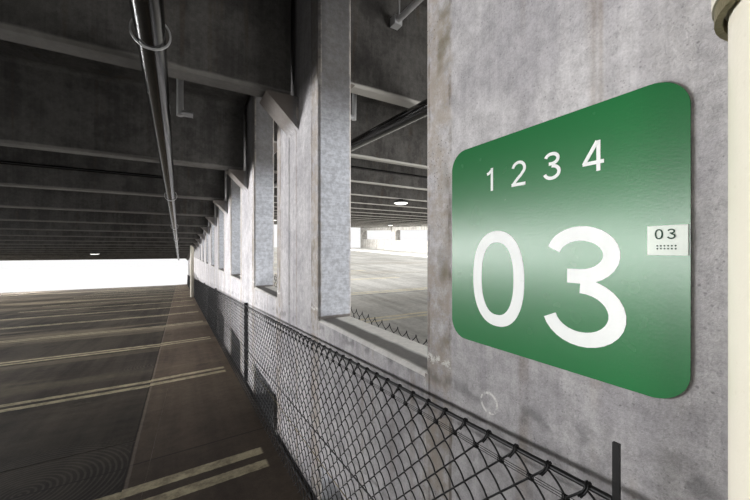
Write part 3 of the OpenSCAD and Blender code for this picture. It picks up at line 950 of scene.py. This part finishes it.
def tubes(paths: np.ndarray, radius: float, sides: int, up: Sequence[float], ring: bool = False) -> Shape:
    """Round bars along many paths of the same number of points.

    A section point lies at path + radius * (cos(a) * u + sin(a) * v), where u is up crossed with the
    path's direction, and v is that direction crossed with u.

    Args:
        paths: Array of paths by points by 3.
        radius: Radius of the bar.
        sides: Points round a section.
        up: A direction that no path follows.
        ring: Closes each path on itself.

    Returns:
        Vertices and face arrays.
    """
    if ring:
        paths = np.concatenate([paths, paths[:, :1]], axis=1)
        ends = np.concatenate([paths[:, -2:-1], paths, paths[:, 1:2]], axis=1)
        along = ends[:, 2:] - ends[:, :-2]
    else:
        along = np.gradient(paths, axis=1)
    along /= np.linalg.norm(along, axis=2, keepdims=True)
    u = np.cross(np.asarray(up, float), along)
    u /= np.linalg.norm(u, axis=2, keepdims=True)
    v = np.cross(along, u)
    a = np.arange(sides) * 2 * math.pi / sides
    section = np.cos(a)[:, None] * u[:, :, None] + np.sin(a)[:, None] * v[:, :, None]
    points = paths[:, :, None] + radius * section
    count, rows = paths.shape[:2]
    faces = [grid_faces(rows, sides, count, True)]
    if not ring:
        first = (np.arange(count) * rows * sides)[:, None] + np.arange(sides)[None]
        faces += [first[:, ::-1], first + (rows - 1) * sides]
    return points.reshape(-1, 3), faces


def turned(profile: np.ndarray, centres: np.ndarray, sides: int = 40) -> Shape:
    """Turns a profile of (radius, height) points about upright axes through many centres.

    A point lies at (r * cos(a), r * sin(a), h). The profile runs down the outside from axis to
    axis, and its first and last points close to small caps.

    Args:
        profile: Array of radius and height.
        centres: Array of centres.
        sides: Points round.

    Returns:
        Vertices and face arrays.
    """
    a = np.arange(sides) * 2 * math.pi / sides
    r, h = profile[:, 0][:, None], profile[:, 1][:, None]
    ring = np.stack([r * np.cos(a), r * np.sin(a), h + 0 * a], axis=-1)
    points = centres[:, None, None] + ring[None]
    count, rows = len(centres), len(profile)
    faces = grid_faces(rows, sides, count, True)[:, ::-1]
    first = (np.arange(count) * rows * sides)[:, None] + np.arange(sides)[None]
    return points.reshape(-1, 3), [faces, first, (first + (rows - 1) * sides)[:, ::-1]]


def swept(profiles: np.ndarray) -> Shape:
    """Skins rows of closed profiles, each of the same number of points, and caps both ends.

    Args:
        profiles: Array of copies by rows by points by 3. Seen along the sweep, the points turn
            clockwise, so that faces point outwards.

    Returns:
        Vertices and face arrays.
    """
    count, rows, points = profiles.shape[:3]
    first = (np.arange(count) * rows * points)[:, None] + np.arange(points)[None]
    faces = [grid_faces(rows, points, count, True), first[:, ::-1], first + (rows - 1) * points]
    return profiles.reshape(-1, 3), faces


# Sub-assemblies


class Legs(Enum):
    """How finely a wire's legs are drawn: the points' shares of a leg, and the sides of the wire."""

    NEAR = ((0.0, 0.1, 0.28, 0.5, 0.72, 0.9), 6)
    MIDDLE = ((0.0, 0.5), 4)
    FAR = ((0.0,), 3)


@dataclass
class WovenFence:
    """Chain link between posts: flattened spirals that hook each other, and what closes their tops."""

    finishes: Finishes
    side: Side
    level: int
    rows: int = 25
    pitch: float = 0.0359
    wire_d: float = 0.0044
    thickness: float = 0.0118
    low: float = 0.012
    lean: float = 0.034
    high: float = 0.912
    rod_d: float = 0.01
    back_wire: float = 0.31
    back_r: float = 0.0022
    back_in: float = 0.0025
    barb_l: float = 0.019
    strand_r: float = 0.0008
    strand_offs: Tuple[float, ...] = (-0.0035, 0.0035)
    strand_ups: Tuple[float, ...] = (-0.002, 0.003)
    tie_r: float = 0.0013
    tie_gap: float = 0.0035
    tie_turns: int = 3
    tie_half: Tuple[float, float, float] = (0.0048, 0.002, 0.0055)
    loop_half: Tuple[float, float, float] = (0.003, 0.0062, 0.0045)
    loop_down: float = 0.001
    ring_points: int = 10

    @property
    def node(self) -> str:
        """Name of the CAD sheet that the weave replaces."""
        return f"level_{self.level}_{self.side.name.lower()}_fence_mesh"

    @property
    def top(self) -> float:
        """Height of the weave's top over the deck."""
        return self.high - (self.rod_d + self.wire_d / 2 if self.side is Side.LEFT else 0.006)

    @property
    def middle(self) -> float:
        """X of the sheet's middle."""
        low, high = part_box(self.node)
        return (low.x + high.x) / 2

    @property
    def start(self) -> float:
        """Y of the first column."""
        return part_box(self.node)[0].y + self.wire_d

    @property
    def count(self) -> int:
        """Number of wires."""
        low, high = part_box(self.node)
        return int((high.y - low.y - 2 * self.wire_d) / self.pitch)

    def lifted(self, y: np.ndarray, up: Any) -> np.ndarray:
        """Height of a point over the ground from its height over the deck."""
        return BAYS.deck_z(self.side, self.level, y) + up

    def wires(self, first: int, last: int, legs: Legs) -> np.ndarray:
        """Centre lines of the spiral wires.

        Wire m swings between columns m and m + 1, and at row j it stands at column m + (j + m) % 2. A leg
        out lies behind the sheet's middle and a leg back before it: the depth is the half thickness times
        sin(pi * part) to the power 0.7. The free foot stands out by lean, which fades upwards with the
        power 1.5. At a bend the wire reaches half its width past the column, so that it hooks its
        neighbour.

        Args:
            first: The first wire.
            last: One past the last wire.
            legs: How finely the legs are drawn.

        Returns:
            Array of wires by points by 3.
        """
        parts = np.array(legs.value[0])
        m = np.arange(first, last)[:, None]
        t = np.append((np.arange(self.rows)[:, None] + parts).ravel(), self.rows)[None]
        row = np.minimum(np.floor(t), self.rows - 1)
        part = t - row
        begin = (row + m) % 2
        way = 1 - 2 * begin
        y = self.start + (m + begin + way * part) * self.pitch
        hook = np.where(part == 0, -way, np.where(part == 1, way, 0)) * self.wire_d / 2
        z = self.low + self.wire_d / 2 + t / self.rows * (self.top - self.low - self.wire_d / 2)
        depth = np.abs(np.sin(math.pi * part)) ** 0.7 * way
        if legs is Legs.FAR:
            depth = 1 - 2 * (m % 2) + 0 * t
        x = self.middle - self.side.value * depth * (self.thickness - self.wire_d) / 2
        out = self.side.value * self.lean * (1 - t / self.rows) ** 1.5
        return np.stack([x + out + 0 * y, y + hook, self.lifted(y, z)], axis=-1)

    def barbs(self, first: int, last: int) -> np.ndarray:
        """Ends of the wires, which come up behind the rod, turn over it and hang down before it.

        Round the rod a point lies at (R * cos(a), R * sin(a)), with R half the rod plus half the wire and a
        from -50 to 180 degrees. Then the end drops barb_l, leaning out by a fifth of that.

        Args:
            first: The first wire.
            last: One past the last wire.

        Returns:
            Array of ends by points by 3.
        """
        tops = self.wires(first, last, Legs.NEAR)[:, -1]
        radius = (self.rod_d + self.wire_d) / 2
        a = np.radians(np.linspace(-50, 180, 8))
        hung = [-radius - self.barb_l * 0.08, -radius - self.barb_l * 0.2]
        out = np.concatenate([radius * np.cos(a), hung])
        up = np.concatenate([radius * np.sin(a), [-self.barb_l * 0.5, -self.barb_l]])
        along = np.concatenate([np.linspace(0, 0.004, 8), [0.0, -0.006]])
        y = tops[:, 1][:, None] - along
        z = self.lifted(y, self.high - self.rod_d / 2 + up)
        return np.stack([self.middle - self.side.value * out + 0 * y, y, z], axis=-1)

    def loops(self, first: int, last: int) -> np.ndarray:
        """Rounded ends that close a top edge without a rod: rings in the sheet, one for each diamond.

        A point lies off its middle by the cosine of its angle times the half sizes across and along,
        and by the sine times the half size up.

        Args:
            first: The first wire.
            last: One past the last wire.

        Returns:
            Array of rings by points by 3.
        """
        tops = self.wires(first, last, Legs.NEAR)[:, -1]
        tops = tops[(np.arange(first, last) + self.rows) % 2 == 1]
        across, along, up = self.loop_half
        a = np.arange(self.ring_points)[None] * 2 * math.pi / self.ring_points
        y = tops[:, 1][:, None] - self.wire_d / 2 + along * np.cos(a)
        z = self.lifted(y, self.top + up * np.sin(a) - self.loop_down)
        return np.stack([self.middle + across * np.cos(a) + 0 * y, y, z], axis=-1)

    @property
    def strand_up(self) -> float:
        """Height of the strands over the deck: the first row of bends under the top."""
        return self.top - (self.top - self.low - self.wire_d / 2) / self.rows

    def line(self, off: float, up: float) -> np.ndarray:
        """A straight wire over the whole length, off the sheet's middle and up from the deck."""
        y = np.array([self.start, self.start + self.count * self.pitch])
        return np.stack([self.middle + off + 0 * y, y, self.lifted(y, up)], axis=-1)[None]

    def strands(self) -> np.ndarray:
        """Four thin strands through the first bends under the rod, two on each side of the sheet."""
        return np.concatenate([self.line(off, self.strand_up + up)
                               for off in self.strand_offs for up in self.strand_ups])

    def ties(self, first: int, last: int) -> np.ndarray:
        """Turns of tie wire that hold the strands to every bend of that row.

        A point lies off its middle by the cosine of its angle times the half size across, and by the
        sine times the half sizes along and up.

        Args:
            first: The first wire.
            last: One past the last wire.

        Returns:
            Array of rings by points by 3.
        """
        m = np.arange(first + (first + self.rows + 1) % 2, last, 2)[:, None]
        across, along, up = self.tie_half
        a = np.arange(self.ring_points)[None] * 2 * math.pi / self.ring_points
        rings = []
        for turn in range(self.tie_turns):
            y = self.start + m * self.pitch + (turn - 1) * self.tie_gap + along * np.sin(a)
            z = self.lifted(y, self.strand_up + up * np.sin(a))
            rings.append(np.stack([self.middle + across * np.cos(a) + 0 * y, y, z], axis=-1))
        return np.concatenate(rings)

    def build(self, near: int, middle: int) -> None:
        """Builds the weave in lengths that are drawn less finely the further they lie from the near end.

        Args:
            near: Number of wires in the finest length.
            middle: Number of wires in the next length.
        """
        name = self.node.replace("_mesh", "_weave")
        wire = self.finishes.made["woven_wire"]
        across, along, upright = np.eye(3)
        stops = (0, near, near + middle, self.count)
        for legs, first, last in zip(Legs, stops, stops[1:]):
            if last <= first:
                continue
            shapes = [tubes(self.wires(first, last, legs), self.wire_d / 2, legs.value[1], across)]
            if legs is Legs.NEAR and self.side is Side.LEFT:
                shapes.append(tubes(self.barbs(first, last), self.wire_d * 0.46, 5, along))
                shapes.append(tubes(self.ties(first, last), self.tie_r, 4, along, ring=True))
            elif legs is not Legs.FAR:
                shapes.append(tubes(self.loops(first, last), self.wire_d * 0.42, 5, across, ring=True))
            if legs is Legs.NEAR:
                shapes.append(tubes(self.strands(), self.strand_r, 4, upright))
            add_piece(f"{name}_{legs.name.lower()}", joined(shapes), wire,
                      replaces=[self.node])
        if self.side is Side.LEFT:
            line = self.line(self.thickness / 2 - self.back_in, self.back_wire)
            rusty = tubes(line, self.back_r, 8, upright)
            add_piece(self.node.replace("_mesh", "_back_wire"), rusty, self.finishes.made["clamp"])


@dataclass
class Sealant:
    """Soft joints between wall panels, between tees and along the wall."""

    finishes: Finishes
    hollow: float = 0.006
    top_down: float = 0.003
    tee_joint: float = 0.0196
    wall_joint: float = 0.0146
    deck_depth: float = 0.04
    wall_depth: float = 0.03
    play: float = 0.001
    sunk: float = 0.004
    joint_on: float = 0.1155
    short: float = 0.02

    def bead(self, width: float, depth: float) -> np.ndarray:
        """Section of a bead, with a top that sags in an arc: down by hollow * (1 - (2u)^2).

        Args:
            width: Across the joint.
            depth: Down into the joint.

        Returns:
            Array of across and up, clockwise.
        """
        u = np.linspace(-0.5, 0.5, 5)
        top = np.stack([u * width, -self.top_down - self.hollow * (1 - 4 * u * u)], axis=-1)
        low = np.array([[0.5 * width, -depth], [-0.5 * width, -depth]])
        return np.concatenate([top, low])

    def deck_joints(self) -> Shape:
        """Beads across the bays in every tee joint, and along the wall.

        Returns:
            Vertices and face arrays.
        """
        bead = self.bead(self.tee_joint, self.deck_depth)
        edge = self.bead(BAYS.end_gap - self.play, self.deck_depth)
        x = np.array([BAYS.wall_t / 2 + BAYS.end_gap, BAYS.bay_w - BAYS.end_gap])
        shapes = []
        for side in Side:
            for level in LEVELS:
                y = BAYS.near_y + BAYS.tee_w * np.arange(1, BAYS.tees)
                cross = BAYS.on_deck(side, level, x[None, :, None],
                                     y[:, None, None] + bead[None, None, :, 0], bead[None, None, :, 1])
                ends = np.array([BAYS.near_y, -BAYS.near_y])
                wall = BAYS.on_deck(side, level, BAYS.wall_t / 2 + BAYS.end_gap / 2 + edge[None, None, :, 0],
                                    ends[None, :, None], edge[None, None, :, 1])
                flip = side is Side.LEFT
                shapes.append(swept(cross if flip else cross[:, ::-1]))
                shapes.append(swept(wall[:, ::-1] if flip else wall))
        return joined(shapes)

    def wall_joints(self) -> Shape:
        """Upright beads in both faces of every panel joint.

        Returns:
            Vertices and face arrays.
        """
        bead = self.bead(self.wall_joint, self.wall_depth)
        k = np.arange(1, BAYS.tees)
        y = BAYS.near_y + BAYS.pitch * (2 * k - 0.5) + self.joint_on
        z = np.array([self.short, BAYS.wall_h - self.short])
        shapes = []
        for side in Side:
            x = side.value * (BAYS.wall_t / 2 - self.sunk + bead[:, 1])
            points = np.stack(np.broadcast_arrays(x[None, None], y[:, None, None] + bead[None, None, :, 0],
                                                  z[None, :, None]), axis=-1)
            shapes.append(swept(points if side is Side.LEFT else points[:, ::-1]))
        return joined(shapes)

    def build(self) -> None:
        """Builds both kinds of joint."""
        grey = self.finishes.made["sealant"]
        add_piece("deck_sealant", self.deck_joints(), grey, smooth=False)
        add_piece("wall_sealant", self.wall_joints(), grey, smooth=False)


@dataclass
class LampSet:
    """Round lamps under the stems: a crown and shade, and a lit lens."""

    finishes: Finishes
    radius: float = 0.22
    height: float = 0.15
    play: float = 0.001
    stems: Tuple[int, ...] = (4, 12)
    quarters: Tuple[int, ...] = (1, 3)

    def centres(self) -> np.ndarray:
        """Top middles of all lamps, under the fifth and thirteenth stems at quarters of each bay.

        Returns:
            Array of points.
        """
        up = -BAYS.tee_d - self.play
        points = [BAYS.on_deck(side, level, BAYS.bay_w * part / 4, BAYS.pier_y(index), up)
                  for side in Side for level in LEVELS for index in self.stems for part in self.quarters]
        return np.array(points)

    def build(self) -> None:
        """Builds crowns and lenses."""
        r, h = self.radius, self.height
        crown = np.array([
            [0.004, 0.0], [r * 0.3, 0.0], [r * 0.32, -h * 0.04], [r * 0.32, -h * 0.2], [r * 0.42, -h * 0.24],
            [r * 0.7, -h * 0.3], [r * 0.86, -h * 0.42], [r * 0.97, -h * 0.58], [r * 0.985, -h * 0.64],
            [r * 0.97, -h * 0.68], [r * 0.9, -h * 0.69], [r * 0.88, -h * 0.6], [0.004, -h * 0.56],
        ])
        lens = np.array([
            [0.004, -h * 0.62], [r * 0.86, -h * 0.64], [r * 0.875, -h * 0.7], [r * 0.8, -h * 0.8],
            [r * 0.6, -h * 0.91], [r * 0.3, -h * 0.975], [0.004, -h * 0.985],
        ])
        centres = self.centres()
        add_piece("lamp_crowns", turned(crown, centres), self.finishes.made["lamp_metal"],
                  replaces=["lamps"])
        add_piece("lamp_lenses", turned(lens, centres), self.finishes.made["lens"],
                  replaces=["lamps"])


class Glyph(Enum):
    """Digits as centre lines in a box of cap height 1, each an array of points."""

    ZERO = "0"
    ONE = "1"
    TWO = "2"
    THREE = "3"
    FOUR = "4"


@dataclass(frozen=True)
class Numerals:
    """Plain digits drawn with a stroke of even width."""

    stroke: float = 0.122
    width: float = 0.66

    @staticmethod
    def arc(cx: float, cy: float, rx: float, ry: float, start: float, end: float) -> np.ndarray:
        """Points on an ellipse: (cx + rx * cos(a), cy + ry * sin(a)), from start to end in degrees."""
        a = np.radians(np.linspace(start, end, 22))
        return np.stack([cx + rx * np.cos(a), cy + ry * np.sin(a)], axis=-1)

    def lines(self, glyph: Glyph) -> List[np.ndarray]:
        """Centre lines of a digit.

        Args:
            glyph: The digit.

        Returns:
            A list of point arrays.
        """
        s, w = self.stroke / 2, self.width
        if glyph is Glyph.ZERO:
            a = np.linspace(0, 2 * math.pi, 61)
            c, n = np.cos(a), np.sin(a)
            x = w / 2 + (w / 2 - s) * np.sign(c) * np.abs(c) ** 0.86
            y = 0.5 + (0.51 - s) * np.sign(n) * np.abs(n) ** 0.86
            return [np.stack([x, y], axis=-1)]
        if glyph is Glyph.ONE:
            flag = np.array([[0.14, 0.76], [0.25, 0.8], [0.4, 0.95 - s / 2]])
            return [np.array([[0.4, 0.0], [0.4, 1.0]]), flag]
        if glyph is Glyph.TWO:
            bowl = self.arc(w / 2, 0.7, w / 2 - s, 0.31 - s, 170, -28)
            tail = np.array([[0.43, 0.42], [0.26, 0.28], [0.12, 0.13], [s, s]])
            return [np.concatenate([bowl, tail]), np.array([[0.0, s], [w - 0.02, s]])]
        if glyph is Glyph.THREE:
            upper = self.arc(0.31, 0.765, 0.3 - s, 0.243 - s, 165, -90)
            lower = self.arc(0.31, 0.275, w / 2 + 0.01 - s, 0.287 - s, 90, -165)
            bar = np.array([[0.2, 0.755 - 0.243 + s + 0.01]])
            return [np.concatenate([upper, bar]), lower]
        return [np.array([[0.49, 0.0], [0.49, 1.0]]), np.array([[0.0, 0.29], [w, 0.29]]),
                np.array([[0.03, 0.27], [0.46, 0.985]])]

    def ribbon(self, line: np.ndarray) -> np.ndarray:
        """Both edges of a stroke along a line, half a stroke to each side.

        Args:
            line: Points of the centre line.

        Returns:
            Array of points by two edges by 2.
        """
        along = np.gradient(line, axis=0)
        along /= np.linalg.norm(along, axis=1, keepdims=True)
        across = np.stack([along[:, 1], -along[:, 0]], axis=-1) * self.stroke / 2
        return np.stack([line - across, line + across], axis=1)

    def shape(self, text: str, place: Tuple[float, float, float], cap: float, advance: float,
              thickness: float) -> Shape:
        """Raised digits on the left face of the wall, read towards -Y.

        Args:
            text: The digits.
            place: X of the face, Y of the row's left end and Z of its foot.
            cap: Height of a digit.
            advance: From one digit to the next.
            thickness: How far they stand off the face. Each further stroke stands off 0.2 mm more.

        Returns:
            Vertices and face arrays.
        """
        shapes = []
        for index, letter in enumerate(text):
            for layer, line in enumerate(self.lines(Glyph(letter))):
                edges = self.ribbon(line) * cap
                front = thickness + 0.0002 * layer
                y = place[1] - index * advance - edges[..., 0]
                z = place[2] + edges[..., 1]
                section = [np.stack([np.full_like(y[:, e], place[0] - off), y[:, e], z[:, e]], axis=-1)
                           for e, off in ((0, 0.0), (1, 0.0), (1, front), (0, front))]
                shapes.append(swept(np.stack(section, axis=1)[None]))
        return joined(shapes)


@dataclass
class LevelSigns:
    """White digits on the green signs, and raised dots on the small plates.

    A row of digits has a cap height, an advance, and its place along Y and up from what it stands on.
    """

    finishes: Finishes
    sign_up: float = 1.335
    level_row: Tuple[float, float, float, float] = (0.222, 0.196, 0.172, -0.194)
    list_row: Tuple[float, float, float, float] = (0.055, 0.0775, 0.135, 0.128)
    plate_row: Tuple[float, float, float, float] = (0.0155, 0.0155, -0.010, 0.002)
    off: float = 0.0001
    raised: float = 0.0006
    dot_pitch: float = 0.0045
    dot_y: float = 0.013
    dot_z: float = 0.0085
    dot_r: float = 0.0011
    dot_h: float = 0.0009
    dot_sides: int = 10

    def row(self, text: str, sizes: Tuple[float, float, float, float], x: float, y: float, z: float) -> Shape:
        """One row of digits.

        Args:
            text: The digits.
            sizes: The row's sizes.
            x: Face of the plate.
            y: Place on the plate that the row is set from.
            z: Height that the row is set from.

        Returns:
            Vertices and face arrays.
        """
        cap, advance, on, up = sizes
        return Numerals().shape(text, (x + self.off, y + on, z + up), cap, advance, self.raised)

    def dots(self, centres: np.ndarray) -> Shape:
        """Domes that stand on the left face: radius times the cosine, height times the sine.

        Args:
            centres: Array of the dots' middles.

        Returns:
            Vertices and face arrays.
        """
        a = np.linspace(0, math.pi / 2, 4)
        dome = np.stack([self.dot_r * np.cos(a[::-1]) + self.off, self.dot_h * np.sin(a[::-1])], axis=-1)
        dome = np.concatenate([dome, [[self.dot_r, -0.0002], [self.off, -0.0002]]])
        points, faces = turned(dome, np.zeros((1, 3)), self.dot_sides)
        tipped = np.stack([-points[:, 2], points[:, 1], points[:, 0]], axis=-1)
        return joined([(tipped + centre, faces) for centre in centres])

    def build(self) -> None:
        """Builds the digits and the dots of all three levels."""
        low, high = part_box("level_signs")
        plate_low, plate_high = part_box("touch_plates")
        middle_y = (low.y + high.y) / 2
        columns, rows = (places.ravel() for places in np.meshgrid(np.arange(6), np.arange(2)))
        white, tiny, centres = [], [], []
        for level in LEVELS:
            z = BAYS.level_z(level) + self.sign_up
            text = f"0{level}"
            white.append(self.row(text, self.level_row, low.x, middle_y, z))
            white.append(self.row("1234", self.list_row, low.x, middle_y, z))
            tiny.append(self.row(text, self.plate_row, plate_low.x, plate_high.y, z))
            centres.append(np.stack([np.full(len(rows), plate_low.x),
                                     plate_high.y - self.dot_y - self.dot_pitch * columns,
                                     z - self.dot_z - self.dot_pitch * rows], axis=-1))
        ink, paint = self.finishes.made["plate_ink"], self.finishes.made["sign_white"]
        add_piece("sign_digits", joined(white), paint, smooth=False)
        add_piece("plate_digits", joined(tiny), ink, smooth=False)
        add_piece("plate_dots", self.dots(np.concatenate(centres)), ink)


# Stage, lights and camera


class Role(Enum):
    """What a panel does: lights surfaces, or only shows in gloss."""

    LIGHT = "light"
    SHINE = "shine"


@dataclass(frozen=True)
class Panel:
    """A flat studio light."""

    name: str
    place: Tuple[float, float, float]
    toward: Tuple[float, float, float]
    size: Tuple[float, float]
    watts: float
    spread: float = 180.0
    role: Role = Role.LIGHT

    def build(self) -> None:
        """Adds the light, turned the way it shines and hidden from the camera."""
        data = bpy.data.lights.new(self.name, "AREA")
        data.shape = "RECTANGLE"
        data.size, data.size_y = self.size
        data.energy = self.watts
        data.spread = math.radians(self.spread)
        light = bpy.data.objects.new(self.name, data)
        bpy.context.scene.collection.objects.link(light)
        light.location = self.place
        light.rotation_mode = "QUATERNION"
        light.rotation_quaternion = Vector(self.toward).to_track_quat("-Z", "Y")
        light.visible_camera = False
        light.visible_diffuse = self.role is Role.LIGHT
        light.visible_glossy = self.role is Role.SHINE


@dataclass(frozen=True)
class Sun:
    """A soft sun lamp."""

    name: str
    direction: Tuple[float, float, float]
    strength: float
    spread: float

    def build(self) -> None:
        """Adds the light."""
        data = bpy.data.lights.new(self.name, "SUN")
        data.energy = self.strength
        data.angle = math.radians(self.spread)
        light = bpy.data.objects.new(self.name, data)
        bpy.context.scene.collection.objects.link(light)
        light.rotation_mode = "QUATERNION"
        light.rotation_quaternion = Vector(self.direction).to_track_quat("-Z", "Y")


@dataclass
class Studio:
    """Pale floor, white surroundings, soft lights and the camera."""

    eye: Tuple[float, float, float] = (-0.754, -17.73, 9.54)
    turn: float = 30.33
    lens: float = 16.0
    sensor: float = 36.0
    ambient: float = 0.12
    floor_half: float = 220.0
    floor_z: float = -0.002
    floor_colour: Colour = (1.0, 0.995, 0.985)
    floor_dim: float = 0.38
    floor_seen: float = 0.78

    def floor(self) -> None:
        """Lays the pale floor, a flat sheet under the whole object that looks paler than it lights."""
        corners = ((-1, -1), (1, -1), (1, 1), (-1, 1))
        points = [(x * self.floor_half, y * self.floor_half, self.floor_z) for x, y in corners]
        mesh = bpy.data.meshes.new("studio_floor")
        mesh.from_pydata(points, [], [(0, 1, 2, 3)])
        graph = Graph("studio_floor")
        seen = Value(graph, graph.node("ShaderNodeLightPath").outputs["Is Camera Ray"])
        gain = self.floor_dim + (self.floor_seen - self.floor_dim) * seen
        colour = graph.shade(self.floor_colour, gain)
        mesh.materials.append(graph.finish({"Base Color": colour, "Roughness": 0.9}))
        sheet = bpy.data.objects.new("studio_floor", mesh)
        bpy.context.scene.collection.objects.link(sheet)

    def surroundings(self) -> None:
        """Makes the world white to the eye and in gloss, and a soft even light for the rest."""
        world = bpy.data.worlds.new("studio_world")
        bpy.context.scene.world = world
        world.use_nodes = True
        tree = Tree(world.node_tree)
        path = tree.node("ShaderNodeLightPath")
        rays = [Value(tree, path.outputs[f"Is {kind} Ray"]) for kind in ("Camera", "Glossy", "Transmission")]
        white = rays[0].most(rays[1]).most(rays[2])
        back = tree.node("ShaderNodeBackground", inputs={
            "Color": (1.0, 1.0, 1.0, 1.0), "Strength": white * (1 - self.ambient) + self.ambient,
        })
        tree.node("ShaderNodeOutputWorld", inputs={0: back.outputs[0]})

    def suns(self) -> List[Sun]:
        """Soft steep suns that light the outside and stay off the decks inside.

        Returns:
            The suns.
        """
        return [
            Sun("front_sun", (0.1, 0.5, -1.0), 1.15, 24.0),
            Sun("left_sun", (0.55, -0.1, -1.0), 1.0, 24.0),
            Sun("right_sun", (-0.55, -0.1, -1.0), 1.0, 24.0),
            Sun("back_sun", (-0.1, -0.55, -1.0), 1.0, 24.0),
        ]

    def wall_washes(self) -> List[Panel]:
        """Upright panels far out in the left bay that shine askew at the wall, towards the near end.

        Returns:
            The panels.
        """
        places = ((-14.5, -2.5, 320.0, 2.0), (-14.5, 4.0, 500.0, 2.0),
                  (-14.5, 11.0, 960.0, 1.0), (-13.0, 18.5, 1040.0, 1.0))
        return [
            Panel(f"wall_wash_{index}", (x, y, BAYS.deck_z(Side.LEFT, 3, y) + 1.3),
                  (1.0, -1.0, BAYS.fall), (5.0, high), watts, 90.0)
            for index, (x, y, watts, high) in enumerate(places)
        ] + [
            Panel("pier_wash", (-8.0, -6.5, BAYS.deck_z(Side.LEFT, 3, -6.5) + 1.2),
                  (1.0, -0.84, BAYS.fall), (1.6, 1.0), 42.0, 30.0)
        ]

    def deck_washes(self) -> List[Panel]:
        """Level sheets under the stems that shine down on the decks of the camera's level.

        Returns:
            The panels.
        """
        lengths = ((Side.LEFT, 3, 6.0, 18.0, 420.0), (Side.LEFT, 3, -8.0, 6.0, 260.0),
                   (Side.RIGHT, 3, -11.0, 18.0, 2400.0), (Side.RIGHT, 2, -17.0, 0.0, 350.0))
        return [
            Panel(f"deck_wash_{index}",
                  (side.value * 9.2, (y0 + y1) / 2, BAYS.deck_z(side, level, (y0 + y1) / 2) + 2.15),
                  (0.0, BAYS.slope(side), -1.0), (17.4, y1 - y0), watts)
            for index, (side, level, y0, y1, watts) in enumerate(lengths)
        ]

    def other_panels(self) -> List[Panel]:
        """Panels for the right bay, the riser, the nearest jamb and sill, and one that shows in the signs.

        Returns:
            The panels.
        """
        return [
            Panel("right_end_panel", (9.5, -18.0, 9.15), (-0.3, 1.0, 0.0), (15.0, 1.2), 580.0, 120.0),
            Panel("right_side_panel", (13.5, 2.0, 9.9), (1.0, 0.0, 0.0), (28.0, 0.8), 1400.0, 120.0),
            Panel("far_end_panel", (-9.0, 19.2, 7.9), (0.3, -1.0, 0.03), (16.0, 2.0), 300.0),
            Panel("riser_panel", (-1.1, -18.2, 9.7), (0.85, 0.5, 0.0), (0.2, 1.6), 0.8, 40.0),
            Panel("jamb_panel", (-0.8, -18.25, 8.45), (0.15, 1.0, 0.0), (0.8, 0.3), 4.0, 34.0),
            Panel("sign_shine", (-11.0, -7.5, 9.6), (1.0, 0.0, 0.0), (20.0, 1.2), 2200.0, role=Role.SHINE),
            Panel("sill_panel", (0.6, -11.5, 10.4), (-0.75, 0.0, -1.0), (12.0, 0.3), 22.0, 100.0),
        ]

    def lights(self) -> None:
        """Hangs all the lights."""
        for light in (*self.suns(), *self.wall_washes(), *self.deck_washes(), *self.other_panels()):
            light.build()

    def camera(self) -> None:
        """Places the camera at eye height beside the wall, level and turned towards it."""
        data = bpy.data.cameras.new("camera")
        data.lens, data.sensor_width = self.lens, self.sensor
        data.clip_start, data.clip_end = 0.02, 500.0
        camera = bpy.data.objects.new("camera", data)
        bpy.context.scene.collection.objects.link(camera)
        camera.location = self.eye
        camera.rotation_euler = (math.pi / 2, 0.0, -math.radians(self.turn))
        bpy.context.scene.camera = camera

    def build(self) -> None:
        """Builds the whole stage."""
        bpy.context.scene.view_settings.view_transform = "Standard"
        self.floor()
        self.surroundings()
        self.lights()
        self.camera()


def main() -> None:
    """Builds every sub-assembly in order."""
    logging.basicConfig(level=logging.INFO, format="%(name)s %(message)s")
    Studio().build()
    finishes = Finishes()
    finishes.dress_nodes()
    WovenFence(finishes, Side.LEFT, 3).build(near=72, middle=180)
    WovenFence(finishes, Side.RIGHT, 3).build(near=0, middle=110)
    WovenFence(finishes, Side.LEFT, 2).build(near=0, middle=0)
    WovenFence(finishes, Side.RIGHT, 2).build(near=0, middle=0)
    Sealant(finishes).build()
    LampSet(finishes).build()
    LevelSigns(finishes).build()


if __name__ == "__main__":
    main()
